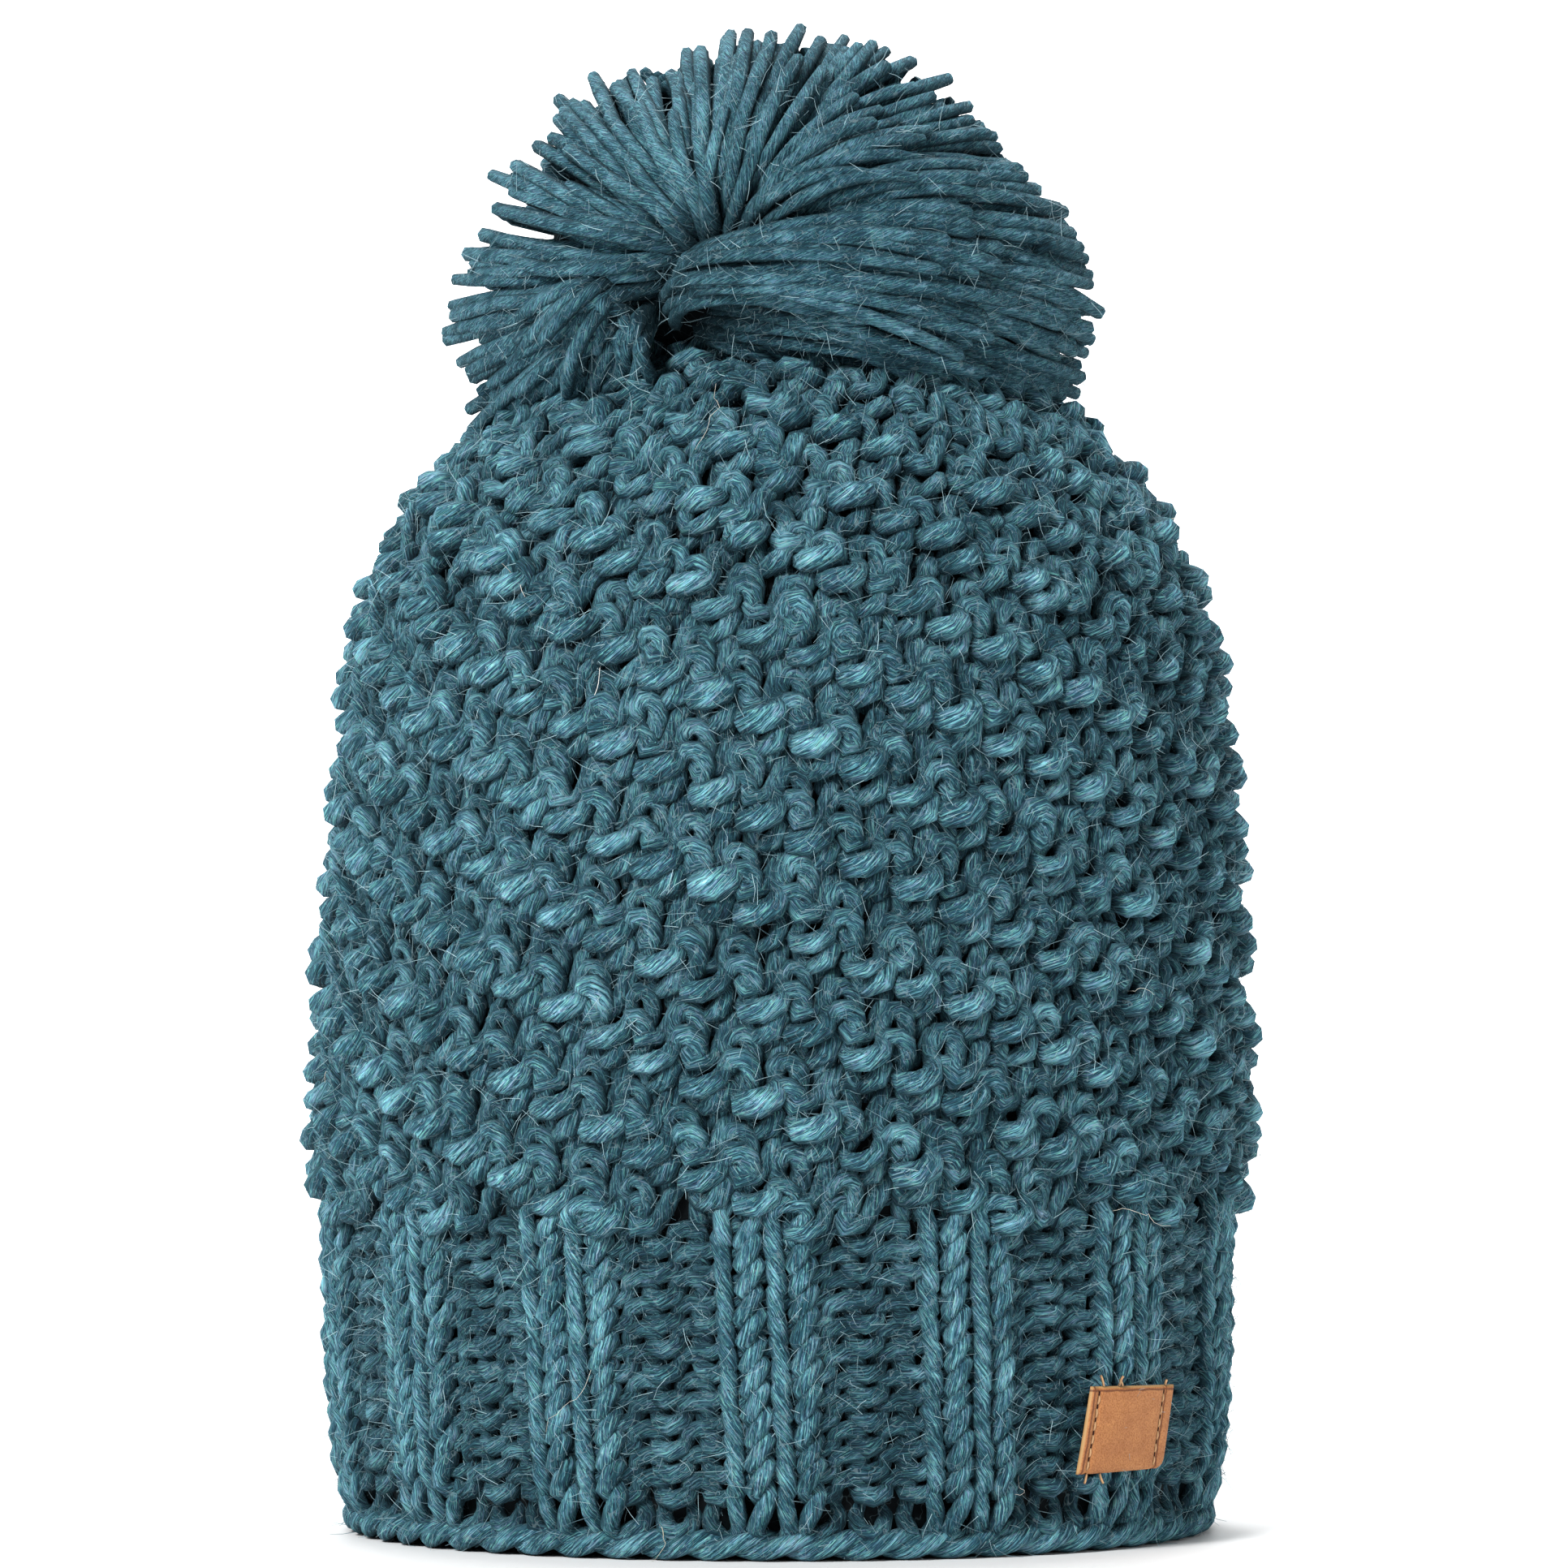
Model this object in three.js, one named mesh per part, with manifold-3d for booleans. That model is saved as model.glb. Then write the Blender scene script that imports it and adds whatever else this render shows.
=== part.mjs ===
// A chunky knitted wool hat with a large yarn pompom, standing on its hem and as full as on a head.
// Millimetres, +Z up. The front of the hat faces -Y, and the origin is the middle of the hem, on the surface.

import * as THREE from "three";
import { mergeVertices } from "three/addons/utils/BufferGeometryUtils.js";
import Module from "manifold-3d";

// Knitting: the gauge of the yarn and the two-by-two rib
const STITCHES_ROUND = 56;
const RIB_REPEAT = 4;
const ROW_HEIGHT = 4.75;
const WALL = 7;

// Heights of the pieces along the hat
const EDGE_TOP = 6.8;
const BAND_TOP = 66;
const BODY_TOP = 188;
const PIECE_GAP = 0.3;

// The ribs of the band lean a little: their tops lie to the left of their feet
const RIB_LEAN_DEG = 2;
const RIB_FRONT_DEG = -1.4;

// Leather label, sewn to the band on the hat's right front
const LABEL_TURN_DEG = 47.5;
const LABEL_HEIGHT = 25.2;
const LABEL_THICK = 1.6;

// Pompom: the middle of the ball, its reach to the front and back, the whorl at the front from which its
// strands part, and the half sizes of the head inside it
const POMPOM_MIDDLE = new THREE.Vector3(-2, 0, 261);
const POMPOM_DEPTH = 58;
const POMPOM_WHORL = new THREE.Vector3(-15, -34, 257);
const POMPOM_HEAD = new THREE.Vector3(48, 43, 30);

const WOOL_COLOUR = 0x3e6c80;
const POMPOM_COLOUR = 0x3a6578;
const LEATHER_COLOUR = 0xb4753f;

// The outline of the hat: the mean radius of the knitting at each height, and how far its middle leans to +X
const HAT_OUTLINE = [
  { height: 0, radius: 88.2, lean: 0 },
  { height: 12, radius: 90.4, lean: 0 },
  { height: 32, radius: 91.8, lean: 0 },
  { height: 62, radius: 92.6, lean: 0.2 },
  { height: 82, radius: 94.6, lean: 0.4 },
  { height: 113, radius: 93.2, lean: 1.0 },
  { height: 146, radius: 90.8, lean: 1.1 },
  { height: 170, radius: 88.4, lean: 0.7 },
  { height: 188, radius: 84.4, lean: 0.6 },
  { height: 204, radius: 78.0, lean: 0.6 },
  { height: 219, radius: 66.6, lean: 1.2 },
  { height: 231, radius: 52.0, lean: 1.6 },
  { height: 240.5, radius: 33.0, lean: 1.2 },
  { height: 245.6, radius: 14.0, lean: 0.6 },
  { height: 246.6, radius: 0, lean: 0.4 },
];

// One repeat of the band's rib: two knit stitches stand out with a cleft between them, and two purl stitches
// lie back
const BAND_SECTION = [
  { stitch: 0, rise: 0.1 },
  { stitch: 0.5, rise: 1.2 },
  { stitch: 1, rise: 0.8 },
  { stitch: 1.5, rise: 1.2 },
  { stitch: 2, rise: 0.1 },
  { stitch: 2.5, rise: -1.2 },
  { stitch: 3, rise: -1.0 },
  { stitch: 3.5, rise: -1.2 },
];

// One repeat of the diagonal rib: two purl stitches make the ridge, two knit stitches the groove
const DIAGONAL_SECTION = [
  { stitch: 0, rise: -1.2 },
  { stitch: 1, rise: -0.9 },
  { stitch: 2, rise: 1.2 },
  { stitch: 3, rise: 1.0 },
];

// The cross-section of the cast-on edge, from its inner foot round the outside: how far out from the inner
// face of the wall, how high, and how much of the rope's scallop each point takes
const EDGE_SECTION = [
  { out: 0.6, up: 0, scallop: 0 },
  { out: 4.6, up: 0, scallop: 0 },
  { out: 6.9, up: 1.3, scallop: 0.7 },
  { out: 7.7, up: 3.4, scallop: 1 },
  { out: 6.9, up: 5.6, scallop: 0.7 },
  { out: 5.8, up: EDGE_TOP, scallop: 0 },
  { out: 0, up: EDGE_TOP, scallop: 0 },
  { out: 0, up: 1.4, scallop: 0 },
];
const EDGE_STRANDS = 28;
const EDGE_COLUMNS = 3 * EDGE_STRANDS;
const EDGE_SCALLOP = 0.6;
const EDGE_SLANT = 0.8;

// Corners of the label, seen from outside: across the band and up from the label's middle
const LABEL_CORNERS = {
  lowLeft: { across: -13.4, up: -8.8 },
  lowRight: { across: 11.4, up: -7.6 },
  topLeft: { across: -10.6, up: 8.4 },
  topRight: { across: 14.2, up: 8.4 },
};

// The pompom's reach seen from the front, from its middle to the tips, by clock angle from +X towards +Z
const POMPOM_OUTLINE = [
  { clock: -36, reach: 66 },
  { clock: -22, reach: 69 },
  { clock: -8, reach: 65 },
  { clock: 12, reach: 57 },
  { clock: 30, reach: 50 },
  { clock: 50, reach: 47 },
  { clock: 72, reach: 43 },
  { clock: 94, reach: 42 },
  { clock: 116, reach: 42 },
  { clock: 138, reach: 47 },
  { clock: 160, reach: 53 },
  { clock: 180, reach: 61 },
  { clock: 196, reach: 67 },
  { clock: 212, reach: 68 },
  { clock: 232, reach: 52 },
  { clock: 252, reach: 40 },
  { clock: 270, reach: 35 },
  { clock: 290, reach: 40 },
  { clock: 308, reach: 52 },
  { clock: 324, reach: 66 },
];

// Rows of locks: how far each row is turned from the front plane towards the back, how many locks it has, the
// clock angles that it spans, its share of the reach, the width of its locks, and how thick they are for that
const LOCK_ROWS = [
  { back: -60, locks: 6, from: 8, to: 308, share: 0.92, width: 24, thick: 0.5 },
  { back: -32, locks: 9, from: -34, to: 280, share: 0.98, width: 26, thick: 0.55 },
  { back: 0, locks: 13, from: -36, to: 212, share: 1, width: 19, thick: 1 },
  { back: 30, locks: 10, from: -36, to: 216, share: 1, width: 23, thick: 1 },
  { back: 58, locks: 7, from: -50, to: 230, share: 1, width: 27, thick: 1 },
  { back: 84, locks: 2, from: 20, to: 160, share: 1, width: 22, thick: 1 },
];
const LOCK_ROOT_SHARE = 0.6;
const LOCK_POINT = 4;
const LOCK_BEND_AT = 0.55;
const LOCK_SIDES = 5;
const PLUG_COLUMNS = 28;

const RADIANS = Math.PI / 180;
const stitchTurn = (2 * Math.PI) / STITCHES_ROUND;
const outline = new THREE.CatmullRomCurve3(
  HAT_OUTLINE.map((row) => new THREE.Vector3(row.radius, row.lean, row.height)),
  false,
  "centripetal",
);
outline.arcLengthDivisions = 800;
const outlineLength = outline.getLength();

// How far along the outline, from 0 at the hem to 1 at the tip, a height lies
function shareAtHeight(height) {
  let low = 0;
  let high = 1;
  for (let step = 0; step < 40; step += 1) {
    const middle = (low + high) / 2;
    if (outline.getPointAt(middle).z < height) low = middle;
    else high = middle;
  }
  return (low + high) / 2;
}

// A point of the hat: its share of the way along the outline, its turn round the hat (0 at the front, rising
// to +X), and its rise out of the outline
function hatPoint(share, turn, rise) {
  const at = Math.min(Math.max(share, 0), 1);
  const here = outline.getPointAt(at);
  const along = outline.getTangentAt(at);
  const slope = Math.hypot(along.x, along.z);
  const radius = Math.max(here.x + (rise * along.z) / slope, 0);
  return new THREE.Vector3(
    here.y + radius * Math.sin(turn),
    -radius * Math.cos(turn),
    here.z - (rise * along.x) / slope,
  );
}

// A closed skin made of rings, each zipped to the next one, with its faces outwards when the rings run up the
// outside and down the inside
class Skin {
  constructor() {
    this.points = [];
    this.faces = [];
  }

  ring(points) {
    return points.map((point) => this.points.push(point) - 1);
  }

  zip(lower, upper) {
    let i = 0;
    let j = 0;
    while (i < lower.length || j < upper.length) {
      const stepLower = (i + 0.5) / lower.length <= (j + 0.5) / upper.length;
      const a = lower[i % lower.length];
      const b = upper[j % upper.length];
      if (stepLower) {
        this.faces.push([a, lower[(i + 1) % lower.length], b]);
        i += 1;
      } else {
        this.faces.push([a, upper[(j + 1) % upper.length], b]);
        j += 1;
      }
    }
  }

  closeUp(ring, point) {
    const tip = this.points.push(point) - 1;
    ring.forEach((a, i) => this.faces.push([a, ring[(i + 1) % ring.length], tip]));
  }

  closeDown(ring, point) {
    const tip = this.points.push(point) - 1;
    ring.forEach((a, i) => this.faces.push([ring[(i + 1) % ring.length], a, tip]));
  }

  geometry() {
    const made = new THREE.BufferGeometry();
    const numbers = this.points.flatMap((point) => point.toArray());
    made.setAttribute("position", new THREE.Float32BufferAttribute(numbers, 3));
    made.setIndex(this.faces.flat());
    return made;
  }
}

// One ring of the hat's wall, with a rise for each column of the section that repeats round it
function wallRing(share, columns, firstTurn, riseOf) {
  const points = [];
  for (let column = 0; column < columns; column += 1) {
    const turn = firstTurn + (2 * Math.PI * column) / columns;
    points.push(hatPoint(share, turn, riseOf(column)));
  }
  return points;
}

// The same ring numbered from another column, so that its first point lies near that of the ring it joins
function renumbered(ring, first) {
  return ring.map((_, i) => ring[(((i + first) % ring.length) + ring.length) % ring.length]);
}

const INNER_COLUMNS = 28;
const innerRing = (share) => wallRing(share, INNER_COLUMNS, 0, () => -WALL);

// How far the ribs are turned at a height of the band
function ribTurn(height) {
  const middle = (EDGE_TOP + BAND_TOP) / 2;
  return (RIB_FRONT_DEG - (RIB_LEAN_DEG * (height - middle)) / (BAND_TOP - EDGE_TOP)) * RADIANS;
}

// Cast-on edge: a rope of slanting strands with a flat foot
function castOnEdge() {
  const skin = new Skin();
  const rings = EDGE_SECTION.map((spot) => {
    const points = [];
    for (let column = 0; column < EDGE_COLUMNS; column += 1) {
      const turn = (2 * Math.PI * column) / EDGE_COLUMNS;
      const wave = Math.cos(EDGE_STRANDS * turn - EDGE_SLANT * spot.up);
      const rise = spot.out - WALL + spot.scallop * EDGE_SCALLOP * wave;
      const here = hatPoint(shareAtHeight(spot.up), turn, rise);
      points.push(new THREE.Vector3(here.x, here.y, spot.up));
    }
    return skin.ring(points);
  });
  rings.forEach((ring, i) => skin.zip(ring, rings[(i + 1) % rings.length]));
  return skin.geometry();
}

// Ribbed band: a hollow wall whose outside follows the rib section all the way up
function ribbedBand() {
  const skin = new Skin();
  const low = shareAtHeight(EDGE_TOP + PIECE_GAP);
  const high = shareAtHeight(BAND_TOP);
  const perRepeat = BAND_SECTION.length;
  const columns = (STITCHES_ROUND / RIB_REPEAT) * perRepeat;
  const outerRows = 5;
  const innerRows = 2;
  const riseAt = (column) => BAND_SECTION[column % perRepeat].rise;
  const rings = [];
  for (let row = 0; row <= outerRows; row += 1) {
    const share = low + ((high - low) * row) / outerRows;
    const turn = ribTurn(outline.getPointAt(share).z) - stitchTurn;
    rings.push(skin.ring(wallRing(share, columns, turn, riseAt)));
  }
  for (let row = innerRows; row >= 0; row -= 1) {
    const share = low + ((high - low) * row) / innerRows;
    rings.push(skin.ring(innerRing(share)));
  }
  rings.forEach((ring, i) => skin.zip(ring, rings[(i + 1) % rings.length]));
  return skin.geometry();
}

// The outside rings of the diagonal rib: each round is turned one stitch back against the round below it
function diagonalRings(skin, low, high, rows, firstRow, depthOf) {
  const startTurn = ribTurn(BAND_TOP) - stitchTurn;
  const rings = [];
  for (let row = 0; row <= rows; row += 1) {
    const share = low + ((high - low) * row) / rows;
    const depth = depthOf(row / rows);
    const riseAt = (column) => depth * DIAGONAL_SECTION[column % RIB_REPEAT].rise;
    const turn = startTurn - (firstRow + row) * stitchTurn;
    rings.push(skin.ring(wallRing(share, STITCHES_ROUND, turn, riseAt)));
  }
  return rings;
}

const bandTopShare = shareAtHeight(BAND_TOP);
const bodyTopShare = shareAtHeight(BODY_TOP);
const gapShare = PIECE_GAP / outlineLength;
const bodyRows = Math.round(((bodyTopShare - bandTopShare) * outlineLength) / ROW_HEIGHT);
const crownRows = 15;

// Body: a hollow tube of diagonal ribs
function body() {
  const skin = new Skin();
  const low = bandTopShare + gapShare;
  const innerRows = 5;
  const outer = diagonalRings(skin, low, bodyTopShare, bodyRows, 0, () => 1);
  const inner = [];
  for (let row = innerRows; row >= 0; row -= 1) {
    inner.push(skin.ring(innerRing(low + ((bodyTopShare - low) * row) / innerRows)));
  }
  outer.slice(1).forEach((ring, i) => skin.zip(outer[i], ring));
  skin.zip(renumbered(outer[bodyRows], bodyRows), inner[0]);
  inner.slice(1).forEach((ring, i) => skin.zip(inner[i], ring));
  skin.zip(inner[innerRows], outer[0]);
  return skin.geometry();
}

// Crown: a hollow dome whose diagonals run together in gathers at the tip
function crown() {
  const skin = new Skin();
  const low = bodyTopShare + gapShare;
  const lastRing = 0.985;
  const innerRows = 6;
  const gathers = (up) => 1 + 0.2 * Math.sin(Math.PI * up) - 0.8 * up;
  const outer = diagonalRings(skin, low, lastRing, crownRows, bodyRows, gathers);
  const inner = [];
  for (let row = innerRows; row >= 0; row -= 1) {
    inner.push(skin.ring(innerRing(low + ((lastRing - 0.03 - low) * row) / innerRows)));
  }
  outer.slice(1).forEach((ring, i) => skin.zip(outer[i], ring));
  skin.closeUp(outer[crownRows], hatPoint(1, 0, 0));
  skin.closeDown(inner[0], hatPoint(1, 0, -WALL));
  inner.slice(1).forEach((ring, i) => skin.zip(inner[i], ring));
  skin.zip(inner[innerRows], renumbered(outer[0], bodyRows));
  return skin.geometry();
}

// Leather label: a leaning plate, bent round the band and resting on the crests of the ribs
function leatherLabel() {
  const skin = new Skin();
  const across = 10;
  const up = 4;
  const crest = Math.max(...BAND_SECTION.map((spot) => spot.rise));
  const low = LABEL_CORNERS;
  const spotOf = (s, t, rise) => {
    const left = THREE.MathUtils.lerp(low.lowLeft.across, low.topLeft.across, t);
    const right = THREE.MathUtils.lerp(low.lowRight.across, low.topRight.across, t);
    const foot = THREE.MathUtils.lerp(low.lowLeft.up, low.lowRight.up, s);
    const head = THREE.MathUtils.lerp(low.topLeft.up, low.topRight.up, s);
    const height = LABEL_HEIGHT + THREE.MathUtils.lerp(foot, head, t);
    const share = shareAtHeight(height);
    const sideways = THREE.MathUtils.lerp(left, right, s) / outline.getPointAt(share).x;
    const turn = LABEL_TURN_DEG * RADIANS + sideways;
    return hatPoint(share, turn, rise);
  };
  const faceAt = (rise) => {
    const rows = [];
    for (let j = 0; j <= up; j += 1) {
      const row = [];
      for (let i = 0; i <= across; i += 1) row.push(skin.points.push(spotOf(i / across, j / up, rise)) - 1);
      rows.push(row);
    }
    return rows;
  };
  const back = faceAt(crest + PIECE_GAP);
  const front = faceAt(crest + PIECE_GAP + LABEL_THICK);
  for (let j = 0; j < up; j += 1) {
    for (let i = 0; i < across; i += 1) {
      skin.faces.push([front[j][i], front[j][i + 1], front[j + 1][i + 1]]);
      skin.faces.push([front[j][i], front[j + 1][i + 1], front[j + 1][i]]);
      skin.faces.push([back[j][i], back[j + 1][i + 1], back[j][i + 1]]);
      skin.faces.push([back[j][i], back[j + 1][i], back[j + 1][i + 1]]);
    }
  }
  const rim = (rows) => [
    ...rows[0].slice(0, across),
    ...rows.slice(0, up).map((row) => row[across]),
    ...rows[up].slice(1).reverse(),
    ...rows.slice(1).map((row) => row[0]).reverse(),
  ];
  skin.zip(rim(back), rim(front));
  return skin.geometry();
}

const wasm = await Module();
wasm.setup();

// A closed geometry as a solid that can be joined and cut
function solidOf(geometry) {
  const bare = geometry.clone();
  Object.keys(bare.attributes).forEach((name) => {
    if (name !== "position") bare.deleteAttribute(name);
  });
  const merged = mergeVertices(bare, 1e-3);
  const corners = merged.index.array;
  const kept = [];
  for (let i = 0; i < corners.length; i += 3) {
    const [a, b, c] = [corners[i], corners[i + 1], corners[i + 2]];
    if (a !== b && b !== c && c !== a) kept.push(a, b, c);
  }
  const mesh = new wasm.Mesh({
    numProp: 3,
    vertProperties: merged.attributes.position.array,
    triVerts: new Uint32Array(kept),
  });
  return new wasm.Manifold(mesh);
}

function geometryOf(solid) {
  const mesh = solid.getMesh();
  const made = new THREE.BufferGeometry();
  made.setAttribute("position", new THREE.Float32BufferAttribute(mesh.vertProperties, 3));
  made.setIndex([...mesh.triVerts]);
  return made;
}

// The pompom's reach in a direction given by its clock angle and by how far it is turned to the back
function pompomReach(clock, back) {
  const first = POMPOM_OUTLINE[0].clock;
  const at = first + THREE.MathUtils.euclideanModulo(clock - first, 360);
  const next = Math.max(1, POMPOM_OUTLINE.findIndex((row) => row.clock >= at));
  const from = POMPOM_OUTLINE[next - 1];
  const to = POMPOM_OUTLINE[next];
  const flat = THREE.MathUtils.lerp(from.reach, to.reach, (at - from.clock) / (to.clock - from.clock));
  return 1 / Math.hypot(Math.cos(back) / flat, Math.sin(back) / POMPOM_DEPTH);
}

// A lock of strands: a strip that spreads from its root along its path and ends in a blunt point
function lockGeometry(path, steps, row) {
  const skin = new Skin();
  const forward = new THREE.Vector3(0, -1, 0);
  const rings = [];
  for (let step = 0; step <= steps; step += 1) {
    const t = step / steps;
    const along = path.getTangent(t);
    const side = new THREE.Vector3().crossVectors(along, forward).normalize();
    const face = new THREE.Vector3().crossVectors(side, along);
    const half = (row.width / 2) * THREE.MathUtils.lerp(LOCK_ROOT_SHARE, 1, t);
    const here = path.getPoint(t);
    const corners = [];
    for (let corner = 0; corner < LOCK_SIDES; corner += 1) {
      const turn = (2 * Math.PI * corner) / LOCK_SIDES;
      const spot = here.clone().addScaledVector(side, half * Math.cos(turn));
      corners.push(spot.addScaledVector(face, half * row.thick * Math.sin(turn)));
    }
    rings.push(skin.ring(corners));
  }
  rings.slice(1).forEach((ring, i) => skin.zip(ring, rings[i]));
  skin.closeUp(rings[0], path.getPoint(0));
  skin.closeDown(rings[steps], path.getPoint(1).addScaledVector(path.getTangent(1), LOCK_POINT));
  return skin.geometry();
}

// The plug that keeps the pompom clear of the crown it sits on
function crownPlug() {
  const skin = new Skin();
  const clear = 1.8 + PIECE_GAP;
  const low = shareAtHeight(206);
  const high = 0.97;
  const rows = 6;
  const rings = [];
  for (let row = 0; row <= rows; row += 1) {
    rings.push(skin.ring(wallRing(low + ((high - low) * row) / rows, PLUG_COLUMNS, 0, () => clear)));
  }
  rings.slice(1).forEach((ring, i) => skin.zip(rings[i], ring));
  skin.closeUp(rings[rows], hatPoint(1, 0, clear));
  skin.closeDown(rings[0], hatPoint(low, 0, -WALL).setX(0).setY(0));
  return skin.geometry();
}

// The direction from the pompom's middle given by a clock angle and a turn to the back
function pompomWay(clock, back) {
  const flat = Math.cos(back);
  const turn = clock * RADIANS;
  return new THREE.Vector3(Math.cos(turn) * flat, Math.sin(back), Math.sin(turn) * flat);
}

// One lock: at the front it leaves the whorl and bends over the head, elsewhere it stands out from the middle
function pompomLock(clock, row) {
  const back = row.back * RADIANS;
  const reach = pompomReach(clock, back) * row.share - LOCK_POINT;
  const tip = POMPOM_MIDDLE.clone().addScaledVector(pompomWay(clock, back), reach);
  if (row.back >= 0) return lockGeometry(new THREE.LineCurve3(POMPOM_MIDDLE, tip), 1, row);
  const halfWay = POMPOM_WHORL.clone().lerp(tip, LOCK_BEND_AT).sub(POMPOM_MIDDLE);
  const halfClock = Math.atan2(halfWay.z, halfWay.x) / RADIANS;
  const halfBack = Math.asin(halfWay.y / halfWay.length());
  const over = pompomReach(halfClock, halfBack);
  const bend = POMPOM_MIDDLE.clone().addScaledVector(halfWay.normalize(), over);
  return lockGeometry(new THREE.QuadraticBezierCurve3(POMPOM_WHORL, bend, tip), 2, row);
}

// Pompom: locks fused to a head, hollowed below where it sits on the crown
function pompom() {
  const headShape = new THREE.SphereGeometry(1, 16, 10);
  headShape.rotateX(Math.PI / 2);
  headShape.scale(POMPOM_HEAD.x, POMPOM_HEAD.y, POMPOM_HEAD.z);
  headShape.translate(POMPOM_MIDDLE.x, POMPOM_MIDDLE.y, POMPOM_MIDDLE.z);
  let solid = solidOf(headShape);
  LOCK_ROWS.forEach((row) => {
    for (let lock = 0; lock < row.locks; lock += 1) {
      const clock = THREE.MathUtils.lerp(row.from, row.to, lock / (row.locks - 1));
      solid = solid.add(solidOf(pompomLock(clock, row)));
    }
  });
  const clear = solid.subtract(solidOf(crownPlug()));
  const bodies = clear.decompose().sort((a, b) => b.volume() - a.volume());
  return geometryOf(bodies[0]);
}

const wool = () => new THREE.MeshStandardMaterial({ color: WOOL_COLOUR, roughness: 0.95, metalness: 0 });
const strands = () => new THREE.MeshStandardMaterial({ color: POMPOM_COLOUR, roughness: 0.95, metalness: 0 });
const leather = () => new THREE.MeshStandardMaterial({ color: LEATHER_COLOUR, roughness: 0.6, metalness: 0 });

const hat = new THREE.Group();
const pieces = [
  ["cast_on_edge", castOnEdge(), wool()],
  ["ribbed_band", ribbedBand(), wool()],
  ["body", body(), wool()],
  ["crown", crown(), wool()],
  ["pompom", pompom(), strands()],
  ["leather_label", leatherLabel(), leather()],
];
pieces.forEach(([name, geometry, material]) => {
  const mesh = new THREE.Mesh(geometry, material);
  mesh.name = name;
  hat.add(mesh);
});

export default hat;
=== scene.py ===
# %% [markdown]
# A knitted hat is one very long yarn. This lesson dresses the plain solids of such a hat with that yarn,
# stitch by stitch. Then it adds the pompom's cut strands, the hairs that stand off the wool, and the small
# leather label. The solids stay the measure of everything: each piece is laid on the same curve that they
# were made from. The frame is opened first.

# %% Open the frame
import math

import bmesh
import bpy
import numpy as np
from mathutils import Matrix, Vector


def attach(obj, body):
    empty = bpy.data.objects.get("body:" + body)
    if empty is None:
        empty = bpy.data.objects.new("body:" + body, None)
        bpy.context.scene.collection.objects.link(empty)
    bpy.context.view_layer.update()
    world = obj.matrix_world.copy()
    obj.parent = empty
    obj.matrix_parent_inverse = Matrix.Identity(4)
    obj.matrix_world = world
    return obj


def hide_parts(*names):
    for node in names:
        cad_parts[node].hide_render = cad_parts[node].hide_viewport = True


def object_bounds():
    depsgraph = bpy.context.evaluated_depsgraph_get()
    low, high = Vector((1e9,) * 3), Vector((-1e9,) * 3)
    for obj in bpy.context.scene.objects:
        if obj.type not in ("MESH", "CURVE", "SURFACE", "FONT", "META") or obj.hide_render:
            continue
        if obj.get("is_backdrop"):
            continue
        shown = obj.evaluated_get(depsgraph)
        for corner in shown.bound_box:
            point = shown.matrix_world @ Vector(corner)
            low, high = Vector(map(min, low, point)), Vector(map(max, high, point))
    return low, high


MM = 0.001
TURN = 2 * math.pi

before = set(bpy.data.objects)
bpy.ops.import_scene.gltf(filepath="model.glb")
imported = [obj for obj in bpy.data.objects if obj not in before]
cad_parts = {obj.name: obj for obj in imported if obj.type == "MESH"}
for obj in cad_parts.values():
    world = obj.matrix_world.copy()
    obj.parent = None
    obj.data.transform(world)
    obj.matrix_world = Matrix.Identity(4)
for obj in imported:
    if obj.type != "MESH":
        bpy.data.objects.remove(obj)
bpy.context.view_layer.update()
print("solids:", ", ".join(sorted(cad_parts)))

# %% [markdown]
# The camera comes early, so that every later step can be looked at. A product photographer stands far off
# with a long lens, which keeps the sides of the hat parallel. Here the lens is worked out from the width that
# the picture should cover. The camera stands a little higher than the middle of the hat and looks down by one
# degree.

# %% Place the camera
VIEW_WIDTH = 318.8 * MM
VIEW_MIDDLE = Vector((1.0 * MM, 0.0, 151.6 * MM))
CAMERA_DISTANCE = 2.6
CAMERA_TILT = math.radians(1.0)
SENSOR_WIDTH = 36
FARTHEST_SEEN = 20


def new_piece(name, data):
    """Puts a mesh, a lamp or a camera into the scene."""
    piece = bpy.data.objects.new(name, data)
    bpy.context.scene.collection.objects.link(piece)
    return piece


camera_data = bpy.data.cameras.new("hat_camera")
camera_data.sensor_width = SENSOR_WIDTH
camera_data.lens = SENSOR_WIDTH * CAMERA_DISTANCE / VIEW_WIDTH
camera_data.clip_end = FARTHEST_SEEN
camera = new_piece("hat_camera", camera_data)
toward_camera = Vector((0, -math.cos(CAMERA_TILT), math.sin(CAMERA_TILT)))
camera.location = VIEW_MIDDLE + toward_camera * CAMERA_DISTANCE
camera.rotation_euler = (math.pi / 2 - CAMERA_TILT, 0, 0)
bpy.context.scene.camera = camera
print("lens in mm:", round(camera_data.lens))

# %% [markdown]
# Every piece of knitting lies on one surface: an outline turned about the hat's axis, which leans a little to
# one side. The outline is a short table of heights and radii, joined by the same smooth curve as in the
# solids. A place on the hat is then three numbers: how far along the outline, how far round, and how far off
# the surface.

# %% Lay out the hat's surface
HAT_OUTLINE = [  # height, radius and lean to the right, in millimetres
    (0, 88.2, 0), (12, 90.4, 0), (32, 91.8, 0), (62, 92.6, 0.2), (82, 94.6, 0.4), (113, 93.2, 1.0),
    (146, 90.8, 1.1), (170, 88.4, 0.7), (188, 84.4, 0.6), (204, 78.0, 0.6), (219, 66.6, 1.2),
    (231, 52.0, 1.6), (240.5, 33.0, 1.2), (245.6, 14.0, 0.6), (246.6, 0, 0.4),
]
STEPS_PER_SPAN = 60


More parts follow.
